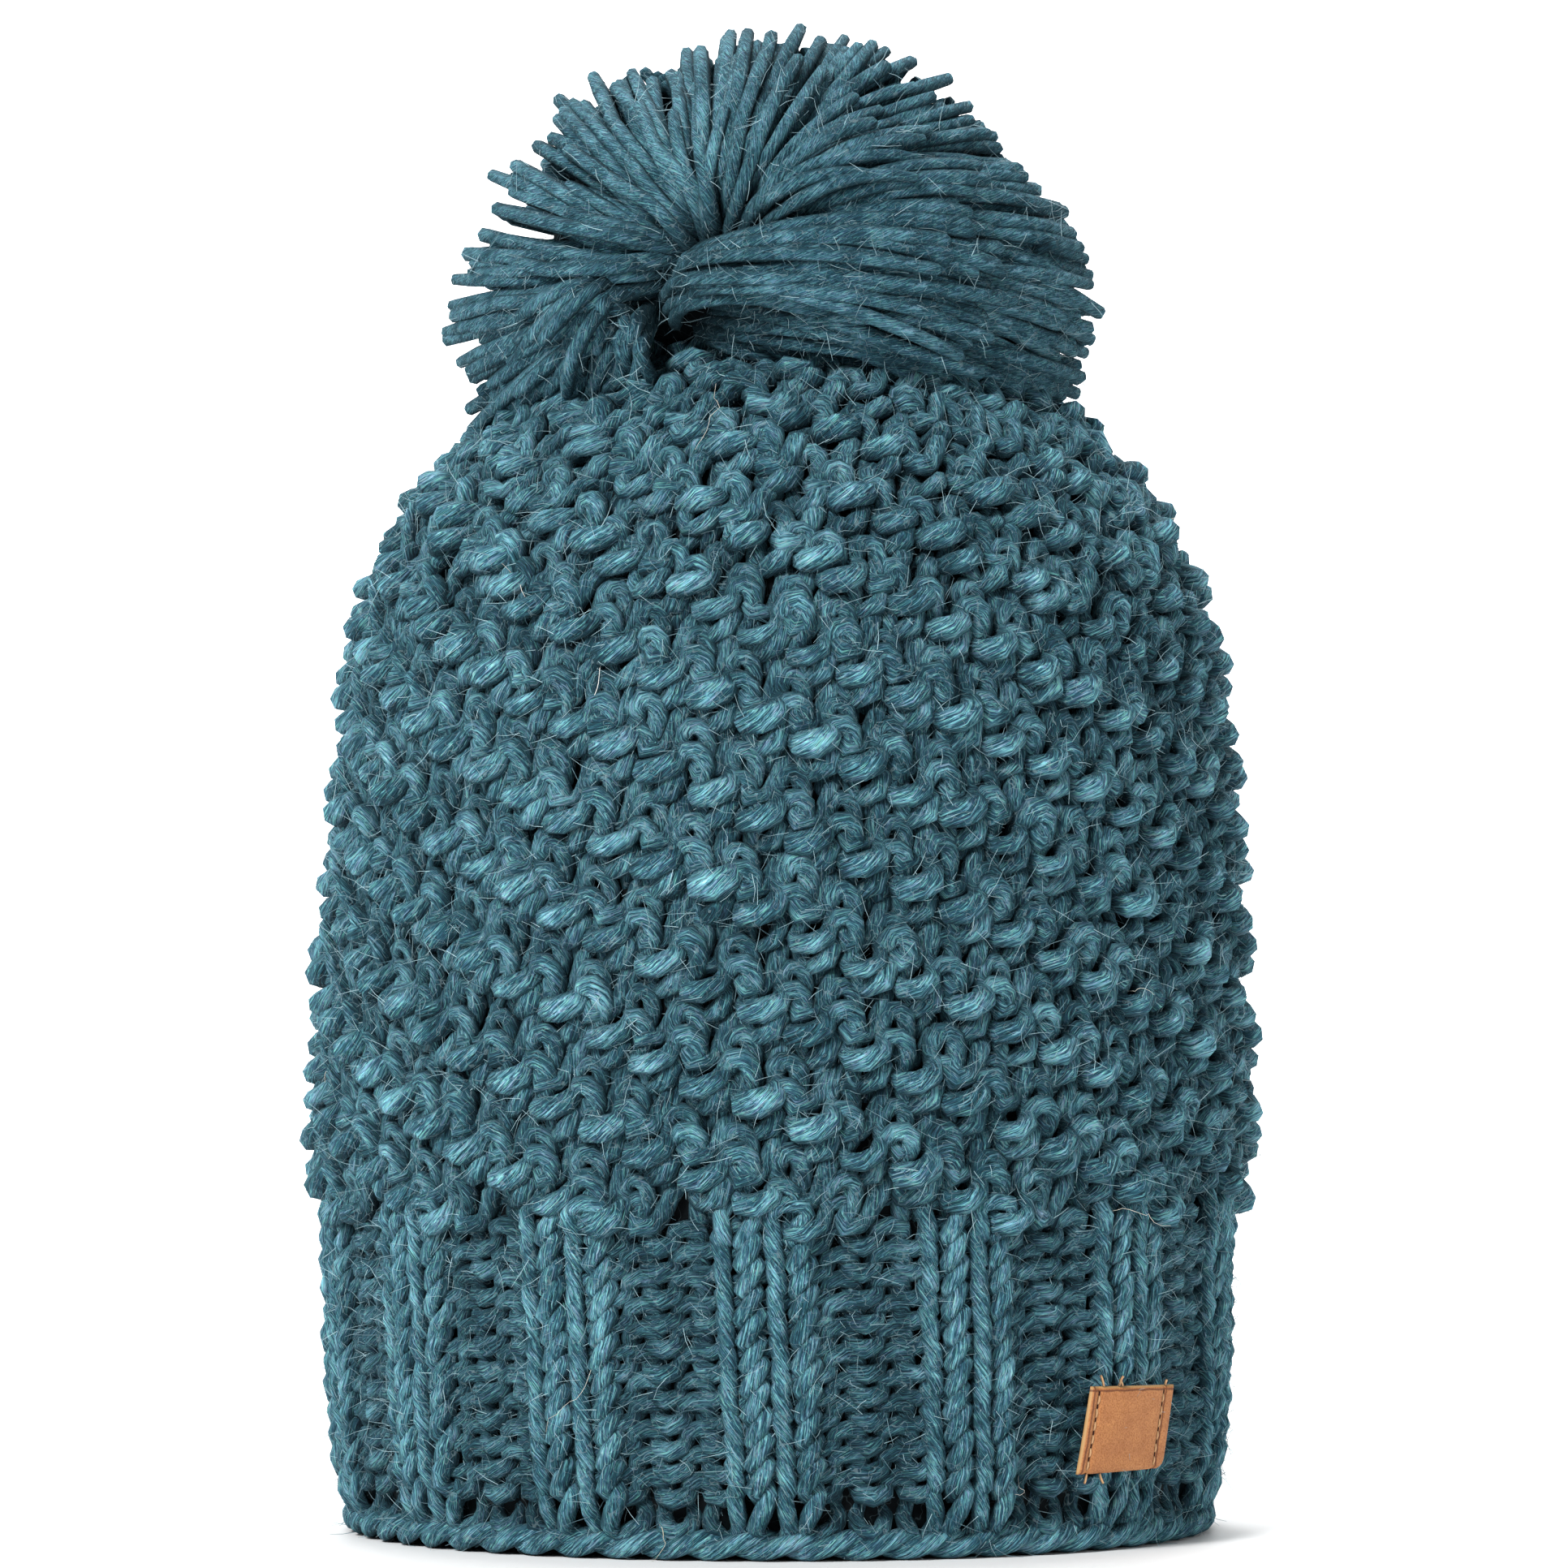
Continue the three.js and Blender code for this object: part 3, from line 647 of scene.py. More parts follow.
edge_turn = np.linspace(-math.pi, math.pi, EDGE_WINDS * EDGE_SAMPLES + 1)
edge_paths = []
for half in (0, math.pi):
    wind = EDGE_WINDS * edge_turn + half
    high = EDGE_RADIUS - EDGE_LOWERED + EDGE_HIGH * (1 + np.sin(wind))
    edge_paths.append(hat_point(high, edge_turn, YARN_LAYER + EDGE_OUT * np.cos(wind)))
edge_mesh = path_mesh("cast_on_rope", edge_paths, even_notes(edge_paths, EDGE_RADIUS, EDGE_LIFT, 0.5))
cast_on = run_tree(yarn_tree, "cast_on_rope", edge_mesh, {
    "Sides": 10, "Unevenness": 0.06, "Seed": 7.0, "Wool": knit_wool})
note_facing(cast_on, out_of_hat)
seat(cast_on, "wool", "cast_on_edge")
lowest = min(vertex.co.z for vertex in cast_on.data.vertices)
print("lowest point of the edge, mm:", round(lowest / MM, 2))

# %% [markdown]
# Between the loops no daylight shows. A thin closed shell behind most of the yarn does that work: it stops
# the light, and its near-black wool is painted shade for the gaps. It follows the same outline, from the edge
# to the very top, and only shows as the darkness in the gaps, from outside and from inside.

# %% Close the gaps with a sheet of painted shade
SHADE_SHEET_DEPTH, SHADE_SHEET_WALL = -4.9 * MM, 0.8 * MM
SHADE_SHEET_FOOT, SHADE_SHEET_SHORT = 3.5 * MM, 9 * MM
SHADE_SHEET_COLUMNS, SHADE_SHEET_RINGS = 84, 44


def smooth_mesh(name, points, faces):
    mesh = bpy.data.meshes.new(name)
    mesh.from_pydata(points, [], faces)
    mesh.polygons.foreach_set("use_smooth", [True] * len(faces))
    return mesh


shade_sheet_turns = np.arange(SHADE_SHEET_COLUMNS) * TURN / SHADE_SHEET_COLUMNS
shade_sheet_along = np.linspace(along_at(SHADE_SHEET_FOOT), outline_along[-1] - SHADE_SHEET_SHORT, SHADE_SHEET_RINGS)
shade_sheet_rings = [hat_point(np.full(SHADE_SHEET_COLUMNS, along), shade_sheet_turns, depth)
              for depth, rings in ((SHADE_SHEET_DEPTH, shade_sheet_along), (SHADE_SHEET_DEPTH - SHADE_SHEET_WALL, shade_sheet_along[::-1]))
              for along in rings]
shade_sheet_faces = []
for i in range(len(shade_sheet_rings)):
    here, beyond = i * SHADE_SHEET_COLUMNS, (i + 1) % len(shade_sheet_rings) * SHADE_SHEET_COLUMNS
    for j in range(SHADE_SHEET_COLUMNS):
        k = (j + 1) % SHADE_SHEET_COLUMNS
        shade_sheet_faces.append((here + j, here + k, beyond + k, beyond + j))
shade_sheet_points = np.concatenate(shade_sheet_rings).tolist()
shade_sheet = new_piece("gap_shade_sheet", smooth_mesh("gap_shade_sheet", shade_sheet_points, shade_sheet_faces))
# Near-black wool: painted shade for the gaps between the loops and under the pompom's strands.
shade_wool = wool("painted_shade_wool", deep=(0.004, 0.012, 0.018, 1), mid=(0.010, 0.030, 0.042, 1),
                 pale=(0.030, 0.070, 0.090, 1), bump=0.5, hairiness=0.12)
shade_sheet.data.materials.append(shade_wool)
seat(shade_sheet, "wool")
print("felted layer triangles:", triangles(shade_sheet))

# %% [markdown]
# The pompom is some hundreds of cut strands, tied at their middle. At the back and the sides they stand out
# like the hairs of a brush. At the front they are parted, and combed from the parting to the edge, where they
# end in layers. Each strand is a short curve: from its root to its tip, bent in the plane of the picture, and
# lifted on to a rounded surface. A table of bundles says where each group of strands starts and ends. Two
# bundles are folded over the parting like hairpins.

# %% Comb the pompom
POMPOM_MIDDLE = np.array([-2, 0, 261]) * MM
POMPOM_DEPTH = 56 * MM
POMPOM_OUTLINE = [  # clock angle from the right towards the top, and reach in millimetres
    (-36, 66), (-22, 69), (-8, 65), (12, 57), (30, 50), (50, 47), (72, 43), (94, 42), (116, 42), (138, 47),
    (160, 53), (180, 61), (196, 67), (212, 68), (232, 52), (252, 40), (270, 35), (290, 40), (308, 52),
]
STRAND_RADIUS, STRAND_POINTS = 1.6 * MM, 13
END_BLUNTNESS, END_LEAST = 0.6, 0.55
FRONT_FLATNESS, FRONT_ROUNDNESS = 0.92, 0.98
ROOT_HEIGHT, RISE_SHARE = 0.58, 0.42
TIPS_BACK, STRAND_WAVE = 10 * MM, 1.1 * MM
FOLD_HOOK, HOOK_SHARE = np.array([5.0, -2.5]) * MM, 0.16


def flat_reach(clock):
    """How far the pompom reaches seen from the front, by clock angle in degrees."""
    angles, reaches = np.array(POMPOM_OUTLINE, float).T
    return np.interp(clock, angles, reaches * MM, period=360)


def tip_direction(clock, back):
    """A direction from the pompom's middle: round the clock, and turned towards the back."""
    c, b = np.radians(clock), np.radians(back)
    return np.array([np.cos(b) * np.cos(c), np.sin(b), np.cos(b) * np.sin(c)])


def full_reach(clock, back):
    b = math.radians(back)
    return 1 / math.hypot(math.cos(b) / flat_reach(clock), math.sin(b) / POMPOM_DEPTH)


def rounded_end(path, radius):
    """The thickness along a strand: full, with a blunt rounded tip."""
    lengths = np.concatenate([[0], np.cumsum(np.linalg.norm(np.diff(path, axis=0), axis=1))])
    left = np.clip((lengths[-1] - lengths) / radius * END_BLUNTNESS, 0, 1)
    return radius * (END_LEAST + (1 - END_LEAST) * np.sqrt(1 - (1 - left) ** 2))


def bent_line(start, control, end, s):
    """A curve that leaves its start towards a control point and comes to its end from there."""
    return (1 - s) ** 2 * start + 2 * s * (1 - s) * control + s**2 * end


def front_strand(root, clock, share, bend, layer, folded, chance):
    """A combed strand: bent in the picture's plane from its root to its tip, and lifted on to the front.

    A folded strand starts beside its root, turns round it like a hairpin and only then runs to its tip.
    """
    middle = POMPOM_MIDDLE[[0, 2]]
    tip = middle + flat_reach(clock) * share * tip_direction(clock, 0)[[0, 2]]
    s = np.concatenate([np.linspace(0, 0.99, STRAND_POINTS - 1) ** (1.6 if folded else 1), [1]])[:, None]
    side = np.array([-(tip - root)[1], (tip - root)[0]])
    flat = bent_line(root, (root + tip) / 2 + side * bend, tip, s)
    flat += np.clip(1 - s / HOOK_SHARE, 0, 1) ** 2 * FOLD_HOOK * folded
    offset = flat - middle
    reach = np.array([flat_reach(math.degrees(math.atan2(z, x))) for x, z in offset])
    inside = np.clip(np.hypot(offset[:, 0], offset[:, 1]) / reach, 0, 1)
    s = s[:, 0]
    lift = ROOT_HEIGHT + (1 - ROOT_HEIGHT) * np.clip(s / RISE_SHARE, 0, 1) ** (0.4 if folded else 0.6)
    depth = -POMPOM_DEPTH * FRONT_FLATNESS * np.sqrt(1 - inside**2 * FRONT_ROUNDNESS) * lift * layer
    depth += chance.uniform(0, TIPS_BACK) * s**3
    wave = STRAND_WAVE * np.sin(s * chance.uniform(2, 6) + chance.uniform(0, 6))
    return np.stack([flat[:, 0] + wave * 0.6, POMPOM_MIDDLE[1] + depth, flat[:, 1] + wave], axis=1)


POMPOM_BUNDLES = [
    # root across and up, first and last clock angle, least and most share, bend, layer, strands
    ((-13, 259), 60, 168, 0.90, 1.07, 0.00, 0.76, 28),
    ((-13, 258), 62, 172, 0.82, 1.04, 0.02, 0.90, 21),
    ((-12, 258), 68, 168, 0.60, 0.94, 0.02, 1.02, 13),
    ((-14, 257), 166, 197, 0.90, 1.04, 0.03, 0.84, 12),
    ((-15, 256), 166, 194, 0.66, 0.96, 0.03, 0.99, 11),
    ((-8, 260), 16, 66, 0.88, 1.05, 0.20, 0.80, 21),
    ((-8, 260), 14, 62, 0.62, 0.82, 0.24, 1.02, 14),
    ((-9, 259), 14, 56, 0.46, 0.70, 0.30, 1.10, 8),
    ((-6, 259), -18, 16, 0.90, 1.05, 0.14, 0.80, 21),
    ((-6, 259), -14, 14, 0.58, 0.76, 0.16, 1.06, 15),
    ((-25, 254), -22, 6, 0.54, 0.78, 0.13, 1.12, 15, "folded"),
    ((-26, 250.5), -34, -14, 0.40, 0.74, 0.11, 1.17, 12, "folded"),
    ((-8, 253), -26, -8, 0.86, 1.02, 0.08, 0.84, 12),
    ((-6, 252), -32, -12, 0.90, 1.00, 0.04, 0.50, 12),
    ((-14, 247), -42, -20, 0.86, 1.04, 0.05, 0.82, 18),
    ((-14, 246), -44, -22, 0.56, 0.78, 0.06, 1.08, 13),
    ((-15, 244), -70, -36, 0.80, 1.02, 0.04, 0.94, 17),
    ((-26, 252), 190, 222, 0.86, 1.05, 0.00, 0.84, 19),
    ((-24, 250), 192, 226, 0.62, 0.94, -0.10, 0.97, 14),
    ((-30, 253), 196, 222, 0.58, 0.80, -0.22, 1.06, 11),
    ((-28, 247), 222, 238, 0.66, 0.86, -0.12, 1.02, 8),
]
ROOT_SPREAD, BEND_SPREAD, LAYER_SPREAD = 1.3, 0.03, (0.91, 1.05)

comb_chance = np.random.default_rng(23)
strand_paths = []
for roots, first, last, least, most, bend, layer, number, *folded in POMPOM_BUNDLES:
    for i in range(number):
        clock = first + (last - first) * (i + comb_chance.uniform(0, 1)) / number
        share = comb_chance.uniform(least, most)
        root = (np.array(roots) + comb_chance.normal(0, ROOT_SPREAD, 2)) * MM
        own_bend = bend + comb_chance.normal(0, BEND_SPREAD)
        own_layer = layer * comb_chance.uniform(*LAYER_SPREAD)
        strand_paths.append(
            front_strand(root, clock, share, own_bend, own_layer, bool(folded), comb_chance))

BRUSH_STRANDS, BRUSH_FROM = 620, -0.25
BRUSH_ROOT, BRUSH_SPREAD, BRUSH_SAG = 0.35, 2 * MM, 4 * MM
BRUSH_SHARES = np.array([0, 0.25, 0.5, 0.75, 0.97, 1])[:, None]
LOWEST_TIP = 226 * MM
GOLDEN_ANGLE = math.pi * (3 - math.sqrt(5))
for i in range(BRUSH_STRANDS):
    back = math.degrees(math.asin(BRUSH_FROM + (1 - BRUSH_FROM) * (i + 0.5) / BRUSH_STRANDS))
    clock = math.degrees(i * GOLDEN_ANGLE) % 360
    direction = tip_direction(clock + comb_chance.normal(0, 2), back + comb_chance.normal(0, 2))
    reach = full_reach(clock, back) * comb_chance.uniform(0.88, 1.0)
    tip = POMPOM_MIDDLE + direction * reach
    root = POMPOM_MIDDLE + direction * reach * BRUSH_ROOT + comb_chance.normal(0, BRUSH_SPREAD, 3)
    sag = np.array([0, 0, -1]) * BRUSH_SAG * BRUSH_SHARES * (1 - BRUSH_SHARES)
    if tip[2] > LOWEST_TIP:
        strand_paths.append(root + (tip - root) * BRUSH_SHARES + sag)

strand_notes = {
    "yarn_radius": [rounded_end(path, STRAND_RADIUS * comb_chance.uniform(0.9, 1.08))
                    for path in strand_paths],
    # Painted shade: the strands darken towards their roots, inside the pompom.
    "yarn_lift": [np.clip(0.2 + 0.8 * np.arange(len(path)) / (0.6 * len(path)), 0, 0.92)
                  for path in strand_paths],
    "yarn_tone": [np.full(len(path), comb_chance.uniform(0.1, 0.9)) for path in strand_paths],
}
pompom_wool = wool("pompom_wool", mid=(0.022, 0.097, 0.145, 1), pale=(0.200, 0.510, 0.640, 1), twist=330.0)
pompom = run_tree(yarn_tree, "pompom_strands", path_mesh("pompom_strands", strand_paths, strand_notes), {
    "Sides": 6, "Unevenness": 0.4, "Seed": 3.0, "Wool": pompom_wool})
# Painted shade on the sides of the strands that face away from the pompom's middle.
note_facing(pompom, lambda places: places - POMPOM_MIDDLE)
seat(pompom, "pompom_wool", "pompom")
print("strands:", len(strand_paths))

# %% [markdown]
# Under the strands lies the tied head of the pompom. It hardly shows, but without it light falls through. A
# rounded body does: a sphere drawn out to the head's size, slightly rippled and near-black as painted shade.

# %% Fill the pompom's head
HEAD_SIZE = np.array([44, 40, 29]) * MM
RIPPLE = 0.03

head_builder = bmesh.new()
bmesh.ops.create_icosphere(head_builder, subdivisions=4, radius=1)
for vertex in head_builder.verts:
    x, y, z = vertex.co
    ripple = 1 + RIPPLE * math.sin(23 * x) * math.sin(19 * y + 2) * math.sin(21 * z)
    vertex.co = Vector(POMPOM_MIDDLE + np.array(vertex.co) * HEAD_SIZE * ripple)
head_mesh = bpy.data.meshes.new("pompom_head")
head_builder.to_mesh(head_mesh)
head_builder.free()
head_mesh.polygons.foreach_set("use_smooth", [True] * len(head_mesh.polygons))
head = new_piece("pompom_head", head_mesh)
# Its near-black wool is painted shade.
head.data.materials.append(shade_wool)
seat(head, "pompom_wool")
print("head triangles:", triangles(head))

# %% [markdown]
# Wool is never smooth: loose fibres stand off every loop and catch the light. Another node tree scatters
# them. It drops points on the side of the wool that faces out, puts a short line on each, leans it over,
# waves it with a noise that grows towards its tip, and sweeps a three-sided thread along it. Hairs that would
# pass through the floor are laid on it. The same tree, with other sizes, also makes the few long coarse hairs
# that wool keeps, pale because they take up hardly any dye.

# %% Raise the loose fibres
LOWEST_HAIR = 0.2 * MM
LEAST_FACING = 0.25
TIP_TAPER = 0.6


def chance_between(tree, low, high, seed):
    """A random number for each point."""
    inputs = {"Min_001": low, "Max_001": high, "Seed": seed}
    return socket_of(add(tree, "FunctionNodeRandomValue", inputs, data_type="FLOAT").outputs, "Value_001")


hair_tree, given, result = new_tree("Loose fibres", {
    "Amount": "Float", "Length": "Float", "Radius": "Float", "Wave": "Float", "Points": "Int", "Seed": "Int",
    "Wool": "Material"})
facing = {"A": note_of(hair_tree, "wool_facing"), "B": LEAST_FACING}
faces_out = add(hair_tree, "FunctionNodeCompare", facing, data_type="FLOAT", operation="GREATER_THAN")
scatter = add(hair_tree, "GeometryNodeDistributePointsOnFaces", {
    "Mesh": given["Geometry"], "Selection": faces_out.outputs[0], "Density": given["Amount"],
    "Seed": given["Seed"]})
line = add(hair_tree, "GeometryNodeCurvePrimitiveLine", {"Start": (0, 0, 0), "End": (0, 0, 1)}).outputs[0]
line = add(hair_tree, "GeometryNodeResampleCurve", {"Curve": line, "Count": given["Points"]}).outputs[0]
tilt = add(hair_tree, "ShaderNodeCombineXYZ", {
    "X": chance_between(hair_tree, 0.7, 1.5, 3), "Z": chance_between(hair_tree, 0.0, TURN, 4)})
spin = add(hair_tree, "FunctionNodeEulerToRotation", {"Euler": tilt.outputs[0]}).outputs[0]
aim = {"Rotation": scatter.outputs["Rotation"], "Rotate By": spin}
aim = add(hair_tree, "FunctionNodeRotateRotation", aim, rotation_space="LOCAL").outputs[0]
points = noted(hair_tree, scatter.outputs["Points"], "hair_tone", chance_between(hair_tree, 0.0, 1.0, 5))
length = calc(hair_tree, "MULTIPLY", chance_between(hair_tree, 0.4, 1.4, 6), given["Length"])
hairs = add(hair_tree, "GeometryNodeInstanceOnPoints", {
    "Points": points, "Instance": line, "Rotation": aim, "Scale": length}).outputs[0]
hairs = add(hair_tree, "GeometryNodeRealizeInstances", {"Geometry": hairs}).outputs[0]
toward_tip = add(hair_tree, "GeometryNodeSplineParameter").outputs["Factor"]
bend = add(hair_tree, "ShaderNodeTexNoise", {"Scale": 170.0, "Detail": 1.0}).outputs[1]
bend = add(hair_tree, "ShaderNodeVectorMath", {0: bend, 1: (0.5, 0.5, 0.5)}, operation="SUBTRACT").outputs[0]
strength = calc(hair_tree, "MULTIPLY", toward_tip, given["Wave"])
bend = add(hair_tree, "ShaderNodeVectorMath", {0: bend, "Scale": strength}, operation="SCALE").outputs[0]
hairs = add(hair_tree, "GeometryNodeSetPosition", {"Geometry": hairs, "Offset": bend}).outputs[0]
hair_place = add(hair_tree, "GeometryNodeInputPosition").outputs["Position"]
hair_place = add(hair_tree, "ShaderNodeSeparateXYZ", {"Vector": hair_place}).outputs
above_floor = calc(hair_tree, "MAXIMUM", hair_place["Z"], LOWEST_HAIR)
hair_place = add(hair_tree, "ShaderNodeCombineXYZ", {
    "X": hair_place["X"], "Y": hair_place["Y"], "Z": above_floor}).outputs[0]
hairs = add(hair_tree, "GeometryNodeSetPosition", {"Geometry": hairs, "Position": hair_place}).outputs[0]
taper = calc(hair_tree, "MULTIPLY_ADD", toward_tip, -TIP_TAPER, 1.0)
taper = calc(hair_tree, "MULTIPLY", taper, given["Radius"])
finished(hair_tree, swept(hair_tree, hairs, ring_of(hair_tree, 3), taper), given["Wool"], result)


def hair(name, dark, pale):
    """A material for hairs, each with a tone of its own."""
    material, tree, shader = new_material(name, {"Roughness": 0.6})
    colour = blend_of(tree, noted_on(tree, "hair_tone"), dark, pale)
    tree.links.new(colour, shader.inputs["Base Color"])
    return material


FIBRES = {"Amount": 49000.0, "Length": 4.5 * MM, "Radius": 0.07 * MM, "Wave": 4.5 * MM, "Points": 3,
          "Wool": hair("loose_fibre", (0.05, 0.13, 0.17, 1), (0.42, 0.62, 0.68, 1))}
KEMPS = {"Amount": 110.0, "Length": 13.0 * MM, "Radius": 0.08 * MM, "Wave": 15.0 * MM, "Points": 12,
         "Wool": hair("kemp_fibre", (0.55, 0.50, 0.36, 1), (0.90, 0.90, 0.86, 1))}
FIBRE_SEED, KEMP_SEED, EDGE_SEED, POMPOM_SEED = 40, 60, 50, 51


def fuzz_on(piece, name, slot, seed, sizes):
    """Loose fibres on a copy of a piece's mesh."""
    seat(run_tree(hair_tree, name, piece.data.copy(), {**sizes, "Seed": seed}), slot)


for seed, piece in enumerate(knitted):
    fuzz_on(piece, piece.name.replace("stitches", "fibres"), "wool", seed + FIBRE_SEED, FIBRES)
    fuzz_on(piece, piece.name.replace("stitches", "kemp"), "wool", seed + KEMP_SEED, KEMPS)
fuzz_on(cast_on, "cast_on_fibres", "wool", EDGE_SEED, FIBRES)
fuzz_on(pompom, "pompom_fibres", "pompom_wool", POMPOM_SEED, {**FIBRES, "Amount": 46000.0})

# %% [markdown]
# The label is a small piece of leather, laid over the ribs and sewn down at both ends. It is a closed sheet
# that follows the hat's curve, with its four corners given across and up from its middle. Near each end the
# seam pulls the leather down into a shallow groove, and one lower corner is worn round.

# %% Cut the leather label
LABEL_TURN, LABEL_HEIGHT = math.radians(47.5), 25.2 * MM
LABEL_INNER, LABEL_THICK = 2.1 * MM, 1.0 * MM
LABEL_CORNERS = ((-13.4, -8.8), (11.4, -8.7), (-10.6, 8.5), (14.2, 7.7))
LABEL_WIDTH_MM, LABEL_HEIGHT_MM = 24, 17
LABEL_ACROSS, LABEL_UP = 72, 34
WORN_CORNER, WORN_REACH = np.array([-0.6, 0.5]), 1.8
EDGE_ROUND, EDGE_REACH = 0.45 * MM, 0.7
SEAMS, SEAM_PULL, SEAM_SPREAD = (0.085, 0.862), 0.35 * MM, 0.022


def label_place(u, v):
    """A place on the label as millimetres across and up, from shares of its width and height."""
    low_left, low_right, top_left, top_right = (np.array(corner) for corner in LABEL_CORNERS)
    low = low_left * (1 - u) + low_right * u
    top = top_left * (1 - u) + top_right * u
    from_corner = math.hypot((1 - u) * LABEL_WIDTH_MM, v * LABEL_HEIGHT_MM)
    return low * (1 - v) + top * v + WORN_CORNER * max(0, 1 - from_corner / WORN_REACH)


def label_point(u, v, rise):
    across, up = label_place(u, v) * MM
    along = along_at(LABEL_HEIGHT) + up
    return hat_point(along, LABEL_TURN + across / radius_at(along), rise)


def label_top(u, v):
    """How far off the hat's surface the label's outer skin lies."""
    pulled = sum(math.exp(-((u - seam) / SEAM_SPREAD) ** 2) for seam in SEAMS)
    swell = 0.16 * math.sin(5.2 * u + 1) * math.sin(3.1 * v + 0.4) * MM
    return LABEL_INNER + LABEL_THICK - SEAM_PULL * pulled + swell


def label_mesh():
    """A sheet with two skins and rounded edges, and a note of the place on it at each point."""
    points, places, index = [], [], {}
    for skin in (0, 1):
        for i in range(LABEL_ACROSS + 1):
            for j in range(LABEL_UP + 1):
                u, v = i / LABEL_ACROSS, j / LABEL_UP
                edge = min(min(u, 1 - u) * LABEL_WIDTH_MM, min(v, 1 - v) * LABEL_HEIGHT_MM)
                round_off = EDGE_ROUND * max(0, 1 - edge / EDGE_REACH) ** 2
                rise = label_top(u, v) - round_off if skin else LABEL_INNER + round_off * 0.4
                index[skin, i, j] = len(points)
                points.append(tuple(label_point(u, v, rise)))
                places.append((u, v, skin))
    faces = []
    for i in range(LABEL_ACROSS):
        for j in range(LABEL_UP):
            ring = [(i, j), (i + 1, j), (i + 1, j + 1), (i, j + 1)]
            faces.append([index[1, a, b] for a, b in ring])
            faces.append([index[0, a, b] for a, b in ring[::-1]])
    border = [(i, 0) for i in range(LABEL_ACROSS)] + [(LABEL_ACROSS, j) for j in range(LABEL_UP)]
    border += [(i, LABEL_UP) for i in range(LABEL_ACROSS, 0, -1)] + [(0, j) for j in range(LABEL_UP, 0, -1)]
    for a, b in zip(border, border[1:] + border[:1]):
        faces.append([index[0, *a], index[0, *b], index[1, *b], index[1, *a]])
    mesh = smooth_mesh("leather_patch", points, faces)
    mesh.attributes.new("label_place", "FLOAT_VECTOR", "POINT").data.foreach_set("vector", np.ravel(places))
    return mesh


label = new_piece("leather_patch", label_mesh())
print("label triangles:", triangles(label))

# %% [markdown]
# Leather is dyed through, but not evenly. A fine grain of small cells covers it, its cut edge at one end has
# stayed pale, and dark lines have formed beside the seams and below the top edge, where it is pressed. The
# shared group works from the place on the label that was noted on the mesh.

# %% Tan the leather
GRAIN_BUMP, GRAIN_DEPTH = 0.5, 0.15 * MM
LINE_WAVER, LINE_STRENGTH = 0.02, 0.8
RED_TAN = (0.50, 0.21, 0.075, 1)
DARK_GRAIN, PALE_GRAIN = (0.80, 0.72, 0.60, 1), (1.14, 1.16, 1.05, 1)

tan_look, given, result = shader_group("Leather look", {
    "Tan": (0.42, 0.165, 0.060, 1), "Brown": (0.11, 0.028, 0.012, 1), "Cream": (0.47, 0.27, 0.11, 1)})
across = noted_on(tan_look, "label_place", "Vector")
across = add(tan_look, "ShaderNodeSeparateXYZ", {"Vector": across}).outputs
hat_place = add(tan_look, "ShaderNodeTexCoord").outputs["Object"]
grain = noise(tan_look, hat_place, 3200.0, 2.0)
cells = add(tan_look, "ShaderNodeTexVoronoi", {"Vector": hat_place, "Scale": 2400.0}, feature="F1")
patches = noise(tan_look, hat_place, 260.0, 3.0)
waver = calc(tan_look, "SUBTRACT", noise(tan_look, hat_place, 420.0, 1.0), 0.5)


def line_at(axis, middle, half_width):
    """A soft wavering line across the label: 1 on the line and 0 beside it."""
    wavy = calc(tan_look, "MULTIPLY_ADD", waver, LINE_WAVER, across[axis])
    off = calc(tan_look, "ABSOLUTE", calc(tan_look, "SUBTRACT", wavy, middle))
    return between(tan_look, off, half_width, half_width * 0.3)


mottled = blend_of(tan_look, between(tan_look, patches, 0.35, 0.7), given["Tan"], RED_TAN)
mottled = tinted(tan_look, between(tan_look, grain, 0.50, 0.62), mottled, DARK_GRAIN)
mottled = tinted(tan_look, between(tan_look, grain, 0.48, 0.36), mottled, PALE_GRAIN)
pale_end = between(tan_look, across["X"], 0.016, 0.006)
pale_top = between(tan_look, across["Y"], 0.975, 0.985)
pale = blend_of(tan_look, calc(tan_look, "MAXIMUM", pale_end, pale_top), mottled, given["Cream"])
lines = calc(tan_look, "MAXIMUM", line_at("X", 0.034, 0.014), line_at("Y", 0.953, 0.018))
lines = calc(tan_look, "MAXIMUM", lines, line_at("X", 0.885, 0.010))
lined = blend_of(tan_look, calc(tan_look, "MULTIPLY", lines, LINE_STRENGTH), pale, given["Brown"])
dents = calc(tan_look, "MULTIPLY_ADD", cells.outputs["Distance"], 0.5, grain)
tan_look.links.new(lined, result["Color"])
tan_look.links.new(dents, result["Height"])
tan_look.links.new(between(tan_look, grain, -0.6, 1.2), result["Roughness"])

leather, leather_tree, leather_shader = new_material("tan_leather", {"Specular IOR Level": 0.35})
dress(leather_tree, leather_shader, tan_look, {}, GRAIN_BUMP, GRAIN_DEPTH)
label.data.materials.append(leather)
seat(label, "leather", "leather_label")
print("material of the label:", leather.name)

# %% [markdown]
# Two rows of stitches hold the label. Each stitch comes up through a hole, lies on the leather and goes down
# through the next hole. A few cut thread ends stick out above and below. All of them are short paths for the
# same yarn tree, only much thinner. The holes are such paths too: near-black painted shade, sunk into the
# leather.

